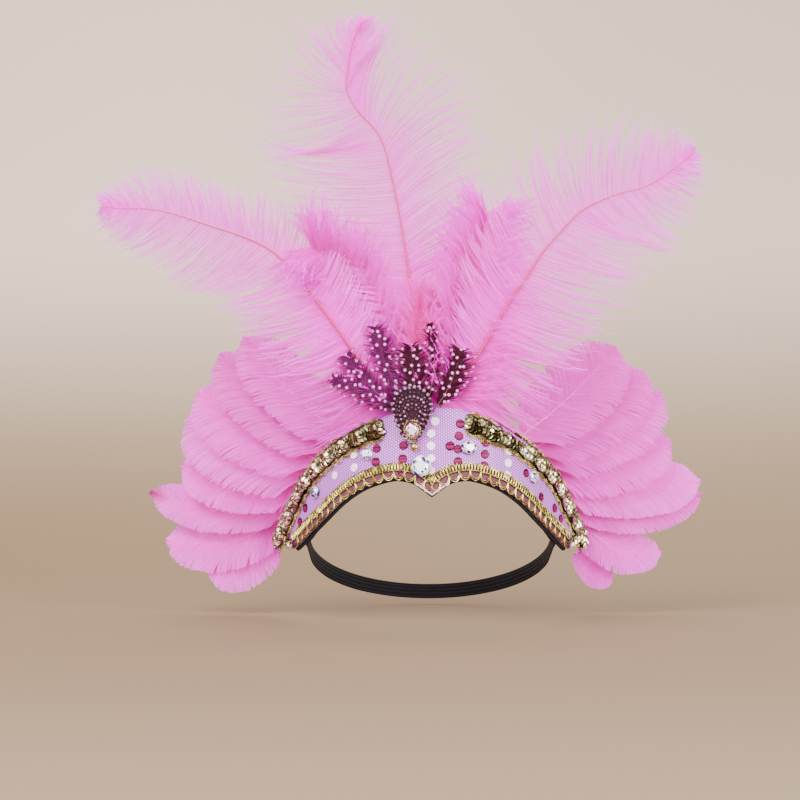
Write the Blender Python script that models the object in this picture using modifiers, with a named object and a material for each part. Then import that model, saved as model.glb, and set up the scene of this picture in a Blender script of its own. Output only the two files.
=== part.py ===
"""Feather headband for the stage: a stiff crescent crown with trims and stones, and a fan of dyed feathers.

Front is -Y, up is +Z, and +X is the wearer's left, on the right as seen from the front.
The origin is the middle of the head opening, level with the lower edge over the forehead.
Sizes below are in millimetres. Objects are made in metres.
"""

import math

import bmesh
import bpy
from mathutils import Matrix, Vector

MM = 0.001
UP = Vector((0, 0, 1))
FRONT = Vector((0, -1, 0))

# The crown's plan: a round front, then straight sides that flare clear of the temples
FACE_RADIUS = 82.0
ROUND_HALF_ANGLE = math.radians(55)
FOREHEAD_LEAN = math.radians(8)
LOWER_HALF_LENGTH = 115.0
UPPER_HALF_LENGTH = 143.0
EDGE_INSET = 1.2

# Thicknesses and gaps
CROWN_WALL = 2.0
LINING_WALL = 1.5
SEAT_GAP = 0.3
QUILL_POCKET = 2.8
BRAID_WALL = 1.4
BRAID_HEADER = 5.6
BRAID_LOOP = 5.0
BRAID_LOOP_PITCH = 7.5
TRIM_WIDTH = 13.0
TRIM_WALL = 1.2
TRIM_ROPE = 2.2
TRIM_WAVE_PITCH = 19.0
STRAP_WIDTH = 10.0
STRAP_WALL = 1.2

# Where the front was looked at from, for what lies further back and so looks smaller
VIEW_DISTANCE = 1500.0
VIEW_AXIS_X = -19.8
VIEW_AXIS_Z = 53.3

# Outline of the crescent laid flat: distance along the plan from the middle, and height
LOWER_EDGE = [
    # along, height
    (0, -6.0), (6, -1.8), (12, 2.0), (18, 3.5), (25, 3.8), (37, 0.9), (48, -3.4),
    (61, -11.0), (76, -21.5), (94, -32.5), (108, -41.0), (115, -44.0),
]
UPPER_EDGE = [
    # along, height
    (0, 50.0), (20, 48.5), (43, 40.5), (57, 35.5), (71, 28.4), (86, 19.9),
    (99, 11.3), (110, 1.2), (118, -9.5), (131, -23.0), (143, -34.0),
]

# Stones on the crown: name, along, height, width, tall, lift off the cloth
STONES = [
    ("stone_middle", -6.8, 11.8, 13.0, 14.0, 2.1),
    ("stone_left", -43.2, 19.6, 8.2, 8.0, 0.3),
    ("stone_right", 24.0, 23.4, 10.8, 8.4, 0.3),
    ("stone_left_end", -88.0, -5.4, 8.0, 8.0, 0.3),
    ("stone_right_end", 74.0, 4.4, 8.0, 8.0, 0.3),
]
STONE_DEPTH = 3.6

# Where each quill is held between crown and lining: along and height at its root, and where it leaves
QUILL_SEATS = {
    "plume_left": (-24, 38, -29, 50),
    "plume_centre": (-8.5, 36, -8.9, 51.5),
    "plume_right": (5.5, 38, 9, 51.5),
    "down_left": (-15.5, 41, -19, 51),
    "down_centre": (-2, 41, -3.5, 51.5),
    "down_right": (13, 41, 15.5, 51),
}
# Feathers as seen from the front above that: x and z of the shaft, and depth y, up to the tip
PLUME_SHAFTS = {
    "plume_left": [
        (-49.6, 85, -59), (-69.7, 112.5, -52), (-83.9, 131.4, -48), (-105.4, 149.4, -45),
        (-140.9, 162.4, -41), (-170.5, 171.1, -38), (-194.2, 172, -36), (-210.8, 174, -35),
    ],
    "plume_centre": [
        (-11.2, 102, -66), (-18, 156, -65), (-27.4, 202, -67), (-33.9, 219, -69),
        (-46.6, 233, -72), (-53.1, 245.8, -74), (-52.1, 258.5, -76), (-49, 275, -78), (-43.5, 287, -80),
    ],
    "plume_right": [
        (30.3, 83.7, -75), (46.5, 111.6, -79), (59.4, 130.5, -80), (69.4, 145.7, -80),
        (80.6, 158.3, -79), (93.6, 171.1, -77), (113.8, 180.4, -73), (136.4, 187.4, -69),
        (161.8, 205.8, -66),
    ],
}
# Barbs at stations up the shaft: share, length and start and end angle off the shaft,
# first on the side a quarter turn anticlockwise from the tip, then on the other
PLUME_BARBS = {
    "plume_left": [
        (0.12, 30, 85, 60, 26, 80, 55), (0.25, 52, 80, 55, 30, 75, 50), (0.45, 62, 75, 45, 40, 70, 45),
        (0.65, 60, 70, 40, 42, 65, 42), (0.82, 46, 62, 35, 40, 62, 40), (0.93, 30, 50, 28, 30, 50, 32),
        (1.0, 12, 25, 12, 12, 25, 12),
    ],
    "plume_centre": [
        (0.14, 26, 70, 50, 26, 70, 60), (0.3, 52, 82, 62, 50, 62, 82), (0.5, 80, 86, 66, 78, 55, 92),
        (0.66, 88, 84, 52, 86, 48, 100), (0.78, 78, 76, 46, 78, 42, 92), (0.87, 52, 62, 34, 44, 34, 40),
        (0.94, 32, 42, 24, 32, 28, 22), (1.0, 16, 18, 8, 16, 18, 8),
    ],
    "plume_right": [
        (0.2, 30, 76, 60, 42, 85, 62), (0.32, 46, 74, 56, 64, 82, 58), (0.48, 68, 72, 52, 76, 78, 54),
        (0.66, 66, 74, 40, 70, 72, 48), (0.82, 54, 74, 40, 52, 66, 42), (0.93, 34, 56, 30, 30, 52, 34),
        (1.0, 12, 25, 12, 12, 25, 12),
    ],
}
# How far barb ends bend back, and how far every other lock stands forward
BEND_BACK = {
    "plume_left": 7.0, "plume_centre": 5.0, "plume_right": 0.0,
    "down_left": 3.0, "down_centre": 0.0, "down_right": 0.0,
}
PLUME_SWELL = 2.3
DOWN_SWELL = 1.4
PLUME_LOCKS = {"plume_left": 7, "plume_centre": 9, "plume_right": 7}
PLUME_QUILL_RADIUS = 0.85
PLUME_WALL = 1.6

DOWN_SHAFTS = {
    "down_left": [(-33, 86, -73.5), (-44, 114, -77), (-56, 136, -79), (-76, 148, -79)],
    "down_centre": [(-6.6, 76, -73.2), (-9, 98, -74), (-7, 116, -75)],
    "down_right": [(19, 90, -70), (26, 122, -70), (30, 150, -70), (34, 168, -70)],
}
DOWN_BARBS = {
    "down_left": [
        (0.16, 14, 50, 30, 10, 50, 30), (0.4, 34, 46, 34, 22, 44, 50), (0.7, 46, 40, 30, 36, 44, 60),
        (1.0, 30, 22, 12, 28, 26, 40),
    ],
    "down_centre": [
        (0.24, 5, 50, 30, 6, 50, 30), (0.45, 14, 40, 24, 20, 44, 30), (0.75, 17, 34, 18, 24, 38, 22),
        (1.0, 14, 18, 8, 15, 20, 10),
    ],
    "down_right": [
        (0.18, 12, 46, 30, 14, 46, 30), (0.4, 28, 40, 26, 34, 46, 60), (0.7, 34, 34, 26, 42, 38, 44),
        (1.0, 28, 20, 12, 28, 22, 14),
    ],
}
DOWN_LOCKS = 4
DOWN_QUILL_RADIUS = 0.55
DOWN_WALL = 2.4

# Goose feathers fan out from between crown and lining at the sides. From the front: root on
# the crown, angle up from sideways, length past the edge, width, sideways bow, lean back, roll
GOOSE_FEATHERS = {
    "goose_left": [
        # along, height, angle, length, width, bow, lean, roll
        (-62, 23, 135, 95, 44, 3, 24, 14),
        (-73, 17, 140, 98, 48, 4, 22, 14),
        (-84, 11, 151, 94, 50, 4, 20, 14),
        (-95, 4, 159, 87, 50, 4, 18, 14),
        (-105, -4, 168, 75, 46, 3, 16, 14),
        (-117, -16, 175, 81, 27, 7, 14, 14),
        (-127, -26, 191, 65, 32, 7, 13, 14),
        (-134, -31, 221, 40, 30, 3, 12, 14),
    ],
    "goose_right": [
        (62, 23, 41, 89, 44, -3, 24, -14),
        (73, 17, 34, 93, 50, -4, 22, -14),
        (84, 11, 29, 92, 50, -4, 20, -14),
        (95, 4, 15, 81, 44, -4, 18, -14),
        (106, -5, 3, 86, 36, -3, 16, -14),
        (117, -16, 2, 76, 30, -7, 14, -14),
        (127, -26, -13, 48, 30, -7, 13, -14),
        (135, -32.5, -60, 32, 20, -3, 30, -14),
    ],
}
GOOSE_SEAT_RUN = 16.0
GOOSE_TIP_FORWARD = 3.0
GOOSE_WALL = 0.9
GOOSE_CUP = 2.6
GOOSE_QUILL_RADIUS = 0.7

# Guinea fowl feathers lie on the crown's front, in layers that keep them apart
GUINEA_FEATHERS = [
    # name, along, height, layer, angle, length, width, bow, lean back
    ("guinea_left_low", -22, 43, 0, 150, 48, 19, -2, -2),
    ("guinea_left", -19, 46, 1, 136, 50, 22, 3, -4),
    ("guinea_tall", -14.5, 47, 0, 113, 54, 24, 3, -3),
    ("guinea_middle", -9.5, 47, 2, 96, 40, 30, 0, -5),
    ("guinea_dark", -4.5, 47, 0, 87, 52, 13, -4, -3),
    ("guinea_right", 0.5, 46, 1, 62, 42, 24, -3, -4),
]
GUINEA_LAYER = 1.5
GUINEA_WALL = 0.7
GUINEA_CUP = 1.0
GUINEA_QUILL_RADIUS = 0.5

# Beaded pear motif over the feather roots, its back leaning forward off the crown
MOTIF_X = -12.4
MOTIF_TOP_Z = 62.0
MOTIF_FOOT_Z = 27.0
MOTIF_HALF_WIDTH = 14.0
MOTIF_FOOT_Y = -77.8
MOTIF_TOP_Y = -85.2
MOTIF_WALL = 2.2
MOTIF_STONE = (-12.4, 35.5, 8.8, 10.4)
MOTIF_RIM_BEADS = 16
MOTIF_RIM_BEAD_RADIUS = 1.2
MOTIF_DROP_RADIUS = 2.6

# Elastic strap behind the head, its ends flat on the lining
HEAD_HALF_WIDTH = 79.0
HEAD_BACK_Y = 106.0
HEAD_WIDEST_Y = 4.0
STRAP_SEAT_SHARES = (0.80, 0.85, 0.90)
STRAP_SEAT_ACROSS = 0.22
STRAP_NAPE_Z = -80.0


def collection(name, hidden=False):
    made = bpy.data.collections.new(name)
    made.hide_render = hidden
    bpy.context.scene.collection.children.link(made)
    return made


def material(name, colour, roughness, metallic=0.0):
    made = bpy.data.materials.new(name)
    made.use_nodes = True
    shader = made.node_tree.nodes["Principled BSDF"]
    shader.inputs["Base Color"].default_value = (*colour, 1)
    shader.inputs["Roughness"].default_value = roughness
    shader.inputs["Metallic"].default_value = metallic
    return made


def interpolate(rows, at):
    """A value read smoothly from rows whose first column is at; Catmull-Rom between the rows."""
    i = 0
    while i < len(rows) - 2 and at > rows[i + 1][0]:
        i += 1
    before, first = rows[max(i - 1, 0)], rows[i]
    second, after = rows[i + 1], rows[min(i + 2, len(rows) - 1)]
    t = (at - first[0]) / (second[0] - first[0])
    found = []
    for k in range(1, len(first)):
        start_slope = (second[k] - before[k]) / (second[0] - before[0]) * (second[0] - first[0])
        end_slope = (after[k] - first[k]) / (after[0] - first[0]) * (second[0] - first[0])
        found.append(
            first[k] * (1 + t * t * (2 * t - 3))
            + start_slope * t * (1 - t) ** 2
            + second[k] * t * t * (3 - 2 * t)
            - end_slope * t * t * (1 - t)
        )
    return found


def seen_from_front(x, z, depth):
    """The true place of a point that looks to be at x, z from the front and lies at that depth."""
    spread = 1 + (depth + FACE_RADIUS) / VIEW_DISTANCE
    return Vector((
        VIEW_AXIS_X + (x - VIEW_AXIS_X) * spread,
        depth,
        VIEW_AXIS_Z + (z - VIEW_AXIS_Z) * spread,
    ))


def plan(along):
    """Point and outward direction of the crown's outer face in plan, at a distance along it."""
    side = math.copysign(1, along)
    angle = min(abs(along) / FACE_RADIUS, ROUND_HALF_ANGLE)
    straight = max(abs(along) - FACE_RADIUS * ROUND_HALF_ANGLE, 0)
    outward = Vector((side * math.sin(angle), -math.cos(angle), 0))
    tangent = Vector((side * math.cos(angle), math.sin(angle), 0))
    return outward * FACE_RADIUS + tangent * straight, outward


def crown_point(along, height, lift=0.0):
    """A point lift outside the crown's outer face. The front leans back with the forehead."""
    point, outward = plan(along)
    lean = math.tan(FOREHEAD_LEAN) * max(0, 1 - (along / UPPER_HALF_LENGTH) ** 2)
    return point + outward * (lift - height * lean) + UP * height


def edge_at(edge, half_length, share):
    """A point of one edge of the flat crescent, share from -1 at one tip to 1 at the other."""
    along = abs(share) * half_length
    return Vector((math.copysign(along, share), interpolate(edge, along)[0]))


def crown_normal(along, height):
    """Direction straight out of the crown's outer face."""
    sideways = crown_point(along + 1, height) - crown_point(along - 1, height)
    return sideways.cross(crown_point(along, height + 1) - crown_point(along, height - 1)).normalized()


def quill_seat(along, height):
    """A place for a quill midway between the crown and the lining."""
    return crown_point(along, height, -CROWN_WALL - (SEAT_GAP + QUILL_POCKET) / 2)


def lining_depth(across):
    """How far the lining's face lies behind the crown's outer face: it stands off above for quills."""
    open_up = min(1.0, across / 0.5)
    return CROWN_WALL + SEAT_GAP + QUILL_POCKET * open_up * open_up * (3 - 2 * open_up)


def crescent(share, across):
    """Flat place in the crescent: share from tip to tip, across from lower to upper edge."""
    low = edge_at(LOWER_EDGE, LOWER_HALF_LENGTH, share)
    high = edge_at(UPPER_EDGE, UPPER_HALF_LENGTH, share)
    return low.lerp(high, across)


def edge_frame(edge, half_length, share, step=0.004):
    """Point on an edge and the direction along it, in the flat crescent, read across a step each way."""
    point = edge_at(edge, half_length, share)
    ahead = edge_at(edge, half_length, min(share + step, 1))
    behind = edge_at(edge, half_length, max(share - step, -1))
    return point, (ahead - behind).normalized()


def walk(edge, half_length, start, end, pitch):
    """Shares that step evenly along an edge of the flat crescent, about pitch apart."""
    fine = 600
    shares = [start + (end - start) * i / fine for i in range(fine + 1)]
    points = [edge_at(edge, half_length, s) for s in shares]
    run = [0.0]
    for a, b in zip(points, points[1:]):
        run.append(run[-1] + (b - a).length)
    count = max(1, round(run[-1] / pitch))
    found = []
    j = 0
    for i in range(count + 1):
        target = run[-1] * i / count
        while j < fine and run[j] < target:
            j += 1
        found.append(shares[j])
    return found


def mesh_object(name, points, faces, finish, home):
    mesh = bpy.data.meshes.new(name)
    mesh.from_pydata([p * MM for p in points], [], faces)
    mesh.materials.append(finish)
    made = bpy.data.objects.new(name, mesh)
    home.objects.link(made)
    return made


def tidy_normals(obj, weld=0.00001):
    work = bmesh.new()
    work.from_mesh(obj.data)
    bmesh.ops.remove_doubles(work, verts=work.verts, dist=weld)
    bmesh.ops.recalc_face_normals(work, faces=work.faces)
    work.to_mesh(obj.data)
    work.free()


def grid_faces(rows, columns, left_out=()):
    return [
        (r * columns + c, r * columns + c + 1, (r + 1) * columns + c + 1, (r + 1) * columns + c)
        for r in range(rows - 1)
        for c in range(columns - 1)
        if (r, c) not in left_out
    ]


def solidify(obj, wall, offset):
    modifier = obj.modifiers.new("wall", "SOLIDIFY")
    modifier.thickness = wall * MM
    modifier.offset = offset
    modifier.use_even_offset = False


def shell(name, grid, wall, offset, finish, home, left_out=()):
    """An open sheet through a grid of points, given its wall by Solidify."""
    points = [p for row in grid for p in row]
    made = mesh_object(name, points, grid_faces(len(grid), len(grid[0]), left_out), finish, home)
    solidify(made, wall, offset)
    return made


def loft(name, sections, finish, home):
    """A closed body through rings of the same count, capped at both ends."""
    count = len(sections[0])
    faces = [
        (r * count + c, r * count + (c + 1) % count, (r + 1) * count + (c + 1) % count, (r + 1) * count + c)
        for r in range(len(sections) - 1)
        for c in range(count)
    ]
    last = (len(sections) - 1) * count
    faces.append(tuple(range(count)))
    faces.append(tuple(range(last, last + count)))
    made = mesh_object(name, [p for ring in sections for p in ring], faces, finish, home)
    tidy_normals(made)
    return made


def tube(name, points, radii, finish, home, sides=6):
    """A tapering rod along points, as a loft of rings."""
    rings = []
    for i, point in enumerate(points):
        along = (points[min(i + 1, len(points) - 1)] - points[max(i - 1, 0)]).normalized()
        across = along.cross(FRONT).normalized()
        other = along.cross(across)
        turns = [math.tau * k / sides for k in range(sides)]
        rings.append([point + (across * math.cos(a) + other * math.sin(a)) * radii[i] for a in turns])
    return loft(name, rings, finish, home)


def join_by_union(target, others):
    """Fuses other solids into target with Boolean unions, and removes them."""
    for i, other in enumerate(others):
        modifier = target.modifiers.new(f"join_{i}", "BOOLEAN")
        modifier.operation = "UNION"
        modifier.solver = "EXACT"
        modifier.object = other
    bpy.context.view_layer.update()
    graph = bpy.context.evaluated_depsgraph_get()
    fused = bpy.data.meshes.new_from_object(target.evaluated_get(graph))
    target.modifiers.clear()
    target.data = fused
    for other in others:
        bpy.data.objects.remove(other)


class Shaft:
    """A feather's shaft as a smooth curve through its rows, walked by its own length."""

    def __init__(self, points, roll=0.0):
        self.roll = roll
        keyed = [(i, *p) for i, p in enumerate(points)]
        fine = 24 * (len(points) - 1)
        self.line = [Vector(interpolate(keyed, (len(points) - 1) * i / fine)) for i in range(fine + 1)]
        self.run = [0.0]
        for a, b in zip(self.line, self.line[1:]):
            self.run.append(self.run[-1] + (b - a).length)
        self.length = self.run[-1]

    def point(self, share):
        target = min(max(share, 0.0), 1.0) * self.length
        i = 0
        while i < len(self.run) - 2 and self.run[i + 1] < target:
            i += 1
        part = (target - self.run[i]) / max(self.run[i + 1] - self.run[i], 1e-9)
        return self.line[i].lerp(self.line[i + 1], part)

    def frame(self, share):
        """Point, direction, side direction and front direction at a share of the length."""
        step = 0.01
        along = (self.point(share + step) - self.point(share - step)).normalized()
        side = FRONT.cross(along).normalized()
        side = Matrix.Rotation(self.roll, 3, along) @ side
        return self.point(share), along, side, along.cross(side).normalized()


def barb_point(shaft, share, side_sign, length, start_angle, end_angle, t, bow):
    """A point at t along a barb that leaves the shaft at one angle and bends to another."""
    point, along, side, front = shaft.frame(share)
    bend = end_angle - start_angle
    if abs(bend) < 1e-3:
        forward = math.cos(start_angle) * t
        out = math.sin(start_angle) * t
    else:
        forward = (math.sin(start_angle + bend * t) - math.sin(start_angle)) / bend
        out = (math.cos(start_angle) - math.cos(start_angle + bend * t)) / bend
    return point + (along * forward + side * side_sign * out) * length + front * bow * t * t


def plume(name, shaft_rows, barb_rows, locks, wall, quill_radius, swell, finish, home):
    """A downy feather: locks of barbs as one notched sheet, fused to its tapering shaft."""
    root_along, root_height, out_along, out_height = QUILL_SEATS[name]
    held = [quill_seat(root_along, root_height), quill_seat(out_along, out_height)]
    shaft = Shaft(held + [seen_from_front(*row) for row in shaft_rows])
    first = barb_rows[0][0]
    notch, columns = 0.42, 4
    centre_shares = [first + (1 - first) * i / locks for i in range(locks + 1)]
    grid = []
    for k in range(locks):
        low, high = centre_shares[k], centre_shares[k + 1]
        for edge in (low, (low + high) / 2, high):
            row = []
            for c in range(-columns, columns + 1):
                t = abs(c) / columns
                draw = max(0.0, (t - notch) / (1 - notch)) * 0.72
                middle = (low + high) / 2
                share = middle + (edge - middle) * (1 - draw)
                found = interpolate(barb_rows, share)
                length, start, end = found[:3] if c < 0 else found[3:]
                stand = (1 if k % 2 else -1) * swell * max(0.0, t - notch) / (1 - notch)
                row.append(barb_point(
                    shaft, share, 1 if c < 0 else -1, length,
                    math.radians(start), math.radians(end), t, stand - BEND_BACK[name],
                ))
            grid.append(row)
    count = 2 * columns + 1
    between = {(3 * k + 2, c) for k in range(locks) for c in range(count - 1)}
    made = shell(name, grid, wall, 0, finish, home, between)
    tidy_normals(made, 0.0001)
    steps = 18
    points = [shaft.point(i / steps) for i in range(steps + 1)]
    radii = [quill_radius * (1 - 0.7 * i / steps) + 0.2 for i in range(steps + 1)]
    rod = tube(name + "_rod", points, radii, finish, home, 5)
    join_by_union(made, [rod])
    return made


def blade(name, shaft, length_shares, widths, wall, cup, quill_radius, finish, home, split=None):
    """A firm feather as one loft: a round quill that opens into a thin cupped vane."""
    rings = []
    for share, width in zip(length_shares, widths):
        point, along, side, front = shaft.frame(share)
        half = width / 2
        thick = wall / 2
        spine = quill_radius * (1 - 0.6 * share)
        if half <= quill_radius:
            turns = [math.tau * k / 8 for k in range(8)]
            rings.append([point + (side * math.cos(a) + front * math.sin(a)) * spine for a in turns])
            continue
        sweep = along * half * 0.35
        back = front * -cup * (half / max(widths) * 2) ** 2
        ring = [
            point + side * half + sweep + back,
            point + side * half * 0.5 + sweep * 0.3 + back * 0.25 + front * thick,
            point + front * spine,
            point - side * half * 0.5 + sweep * 0.3 + back * 0.25 + front * thick,
            point - side * half + sweep + back,
            point - side * half * 0.5 + sweep * 0.3 + back * 0.25 - front * thick,
            point - front * spine,
            point + side * half * 0.5 + sweep * 0.3 + back * 0.25 - front * thick,
        ]
        rings.append(ring)
    return loft(name, rings, finish, home)


def goose_feather(name, row, finish, home):
    along, height, angle, length, width, bow, lean, roll = row
    turn = math.radians(angle)
    flat = Vector((math.cos(turn), 0, math.sin(turn)))
    heading = flat * math.cos(math.radians(lean)) - FRONT * math.sin(math.radians(lean))
    sideways = FRONT.cross(flat)
    root = quill_seat(along, height)
    around = (quill_seat(along + 1, height) - quill_seat(along - 1, height)).normalized()
    held = Vector((flat.x / around.x, flat.z)).normalized() * GOOSE_SEAT_RUN
    leaves = quill_seat(along + held.x, height + held.y)
    points = [root, quill_seat(along + held.x / 2, height + held.y / 2), leaves]
    for t in (0.25, 0.5, 0.75, 1.0):
        bent = sideways * bow * math.sin(math.pi * t) + FRONT * GOOSE_TIP_FORWARD * t * t
        points.append(leaves + heading * length * t + bent)
    shares = [0, 0.16, 0.26, 0.45, 0.68, 0.88, 1.0]
    widths = [0, 0, 0.36, 0.84, 1.0, 0.72, 0.16]
    return blade(
        name, Shaft(points, math.radians(roll)), shares, [width * w for w in widths],
        GOOSE_WALL, GOOSE_CUP, GOOSE_QUILL_RADIUS, finish, home,
    )


def guinea_feather(row, finish, home):
    name, along, height, layer, angle, length, width, bow, lean = row
    turn = math.radians(angle)
    flat = Vector((math.cos(turn), 0, math.sin(turn)))
    heading = flat * math.cos(math.radians(lean)) - FRONT * math.sin(math.radians(lean))
    sideways = FRONT.cross(flat)
    points = [crown_point(along, height, SEAT_GAP + GUINEA_QUILL_RADIUS)]
    layered = crown_point(along, height, SEAT_GAP + GUINEA_QUILL_RADIUS + layer * GUINEA_LAYER)
    for t in (0.3, 0.65, 1.0):
        points.append(layered + heading * length * t + sideways * bow * math.sin(math.pi * t))
    shares = [0, 0.16, 0.34, 0.6, 0.86, 1.0]
    widths = [0, 0, 0.66, 1.0, 0.8, 0.2]
    return blade(
        name, Shaft(points), shares, [width * w for w in widths], GUINEA_WALL, GUINEA_CUP,
        GUINEA_QUILL_RADIUS, finish, home,
    )


def make_crown(finish, home):
    columns, rows = 40, 3
    grid = []
    for r in range(rows + 1):
        across = r / rows
        row = []
        for c in range(columns + 1):
            share = (2 * c / columns - 1) * 0.985
            low, high = crescent(share, 0), crescent(share, 1)
            inset = (high - low).normalized() * EDGE_INSET
            flat = (low + inset).lerp(high - inset, across)
            row.append(crown_point(flat.x, flat.y))
        grid.append(row)
    return shell("crown", grid, CROWN_WALL, -1, finish, home)


def make_lining(finish, home):
    """Black felt behind the crown, showing below it, and standing off above for the quills."""
    columns, rows = 36, 3
    grid = []
    for r in range(rows + 1):
        across = r / rows
        row = []
        for c in range(columns + 1):
            flat = crescent((2 * c / columns - 1) * 0.975, across)
            drop = Vector((0, -1.0)) if r == 0 else Vector((0, 0))
            flat = flat + drop - (Vector((0, 2.0)) if r == rows else Vector((0, 0)))
            row.append(crown_point(flat.x, flat.y, -lining_depth(across)))
        grid.append(row)
    return shell("lining", grid, LINING_WALL, -1, finish, home)


def make_braid(finish, home):
    """Gimp braid along the lower edge: a header with a row of open loops below it."""
    reach = 0.965
    shares = walk(LOWER_EDGE, LOWER_HALF_LENGTH, -reach, reach, BRAID_LOOP_PITCH / 3)
    shares = shares[: len(shares) - (len(shares) - 1) % 3]
    dips = [0.25, 1.0, 1.0]
    grid = []
    for i, share in enumerate(shares):
        point, along = edge_frame(LOWER_EDGE, LOWER_HALF_LENGTH, share, 0.08)
        inward = Vector((-along.y, along.x))
        loop = BRAID_LOOP * dips[i % 3]
        top = BRAID_LOOP + BRAID_HEADER
        insets = [BRAID_LOOP - loop, BRAID_LOOP - loop + 1.5 * dips[i % 3] + 0.4, BRAID_LOOP, top]
        row = []
        for inset in insets:
            flat = point + inward * inset
            row.append(crown_point(flat.x, flat.y, SEAT_GAP))
        grid.append(row)
    holes = {(i, 1) for i in range(len(shares) - 1) if i % 3 == 1}
    return shell("gimp_braid", grid, BRAID_WALL, -1, finish, home, holes)


def make_sequin_trim(name, side, begins, finish, home):
    """Sequin trim on the upper edge: a scalloped lace strip under a winding rope of sequins."""
    shares = walk(UPPER_EDGE, UPPER_HALF_LENGTH, side * begins, side * 0.985, 4.4)
    columns = 5
    front, back = [], []
    for i, share in enumerate(shares):
        point, along = edge_frame(UPPER_EDGE, UPPER_HALF_LENGTH, share)
        inward = Vector((along.y, -along.x))
        phase = math.tau * i * 4.4 / TRIM_WAVE_PITCH
        swing = math.sin(phase)
        fade = min(1.0, 0.55 + (len(shares) - 1 - i) * 0.15)
        low = TRIM_WIDTH * (0.90 + 0.10 * swing) * fade
        high = TRIM_WIDTH * 0.08 * (1 - swing)
        middle = TRIM_WIDTH * (0.5 + 0.13 * swing) * fade
        front_row, back_row = [], []
        for c in range(columns + 1):
            inset = high + (low - high) * c / columns
            ridge = max(0.0, 1 - ((inset - middle) / (TRIM_WIDTH * 0.27)) ** 2)
            flat = point + inward * inset
            front_row.append(crown_point(flat.x, flat.y, SEAT_GAP + TRIM_WALL + TRIM_ROPE * ridge))
            back_row.append(crown_point(flat.x, flat.y, SEAT_GAP))
        front.append(front_row)
        back.append([back_row[0], back_row[-1]])
    rings = [f + [b[1], b[0]] for f, b in zip(front, back)]
    return loft(name, rings, finish, home)


def cut_stone(name, centre, outward, width, tall, finish, home):
    """A brilliant cut stone: a flat table over two rows of facets on a sixteen-sided girdle."""
    across = UP.cross(outward).normalized()
    upward = outward.cross(across)

    def ring(count, share, lift, start):
        turns = [math.tau * (k + start) / count for k in range(count)]
        middle = centre + outward * lift
        wide, high = across * width / 2 * share, upward * tall / 2 * share
        return [middle + wide * math.cos(a) + high * math.sin(a) for a in turns]

    back = ring(16, 0.88, 0, 0)
    girdle = ring(16, 1.0, STONE_DEPTH * 0.3, 0)
    table = ring(8, 0.56, STONE_DEPTH, 0.5)
    points = back + girdle + table
    faces = [tuple(range(16))]
    faces += [(i, (i + 1) % 16, 16 + (i + 1) % 16, 16 + i) for i in range(16)]
    for i in range(8):
        here = 32 + i
        spots = [16 + (2 * i + k) % 16 for k in range(3)]
        faces.append((spots[0], spots[1], here))
        faces.append((spots[1], spots[2], here))
        faces.append((spots[2], 32 + (i + 1) % 8, here))
    faces.append(tuple(range(32, 40)))
    made = mesh_object(name, points, faces, finish, home)
    tidy_normals(made)
    return made


def motif_normal():
    return Vector((0, MOTIF_FOOT_Z - MOTIF_TOP_Z, MOTIF_TOP_Y - MOTIF_FOOT_Y)).normalized()


def motif_point(x, z, lift=0.0):
    """A point on the motif's back plane, or lift in front of it."""
    share = (z - MOTIF_FOOT_Z) / (MOTIF_TOP_Z - MOTIF_FOOT_Z)
    on_back = Vector((x, MOTIF_FOOT_Y + (MOTIF_TOP_Y - MOTIF_FOOT_Y) * share, z))
    return on_back + motif_normal() * lift


def pear_outline(turn, inset=0.0):
    """The pear's outline: full and round above, drawn to a point at the foot."""
    height = MOTIF_TOP_Z - MOTIF_FOOT_Z
    up = (1 - math.cos(turn)) / 2
    wide = MOTIF_HALF_WIDTH * math.sin(turn) * (0.45 + 0.55 * up) * 1.12
    shrink = 1 - inset / MOTIF_HALF_WIDTH
    middle = MOTIF_FOOT_Z + height * 0.5
    return MOTIF_X + wide * shrink, middle + (MOTIF_FOOT_Z + height * up - middle) * shrink


def make_motif(finish, home):
    """The pear's domed plate with a rim of round beads fused on."""
    sides = 16
    turns = [math.tau * k / sides for k in range(sides)]
    rings = [
        [motif_point(*pear_outline(a), 0) for a in turns],
        [motif_point(*pear_outline(a), MOTIF_WALL * 0.6) for a in turns],
        [motif_point(*pear_outline(a, 5.0), MOTIF_WALL) for a in turns],
    ]
    plate = loft("motif_plate", rings, finish, home)
    beads = []
    for k in range(MOTIF_RIM_BEADS):
        x, z = pear_outline(math.tau * (k + 0.5) / MOTIF_RIM_BEADS, 0.6)
        work = bmesh.new()
        bmesh.ops.create_icosphere(work, subdivisions=1, radius=MOTIF_RIM_BEAD_RADIUS * MM)
        bmesh.ops.translate(work, verts=work.verts, vec=motif_point(x, z, MOTIF_WALL * 0.6) * MM)
        mesh = bpy.data.meshes.new("bead")
        work.to_mesh(mesh)
        work.free()
        bead = bpy.data.objects.new(f"rim_bead_{k}", mesh)
        home.objects.link(bead)
        beads.append(bead)
    join_by_union(plate, beads)
    return plate


def make_drop(finish, home):
    """The round bead that ends the pear's point."""
    clear = MOTIF_DROP_RADIUS + SEAT_GAP
    centre = crown_point(MOTIF_X + 1.6, MOTIF_FOOT_Z - clear, clear) * MM
    radius = MOTIF_DROP_RADIUS * MM
    bpy.ops.mesh.primitive_uv_sphere_add(segments=12, ring_count=8, radius=radius, location=centre)
    drop = bpy.context.object
    drop.name = "motif_drop"
    drop.data.materials.append(finish)
    for holder in list(drop.users_collection):
        holder.objects.unlink(drop)
    home.objects.link(drop)
    return drop


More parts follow.
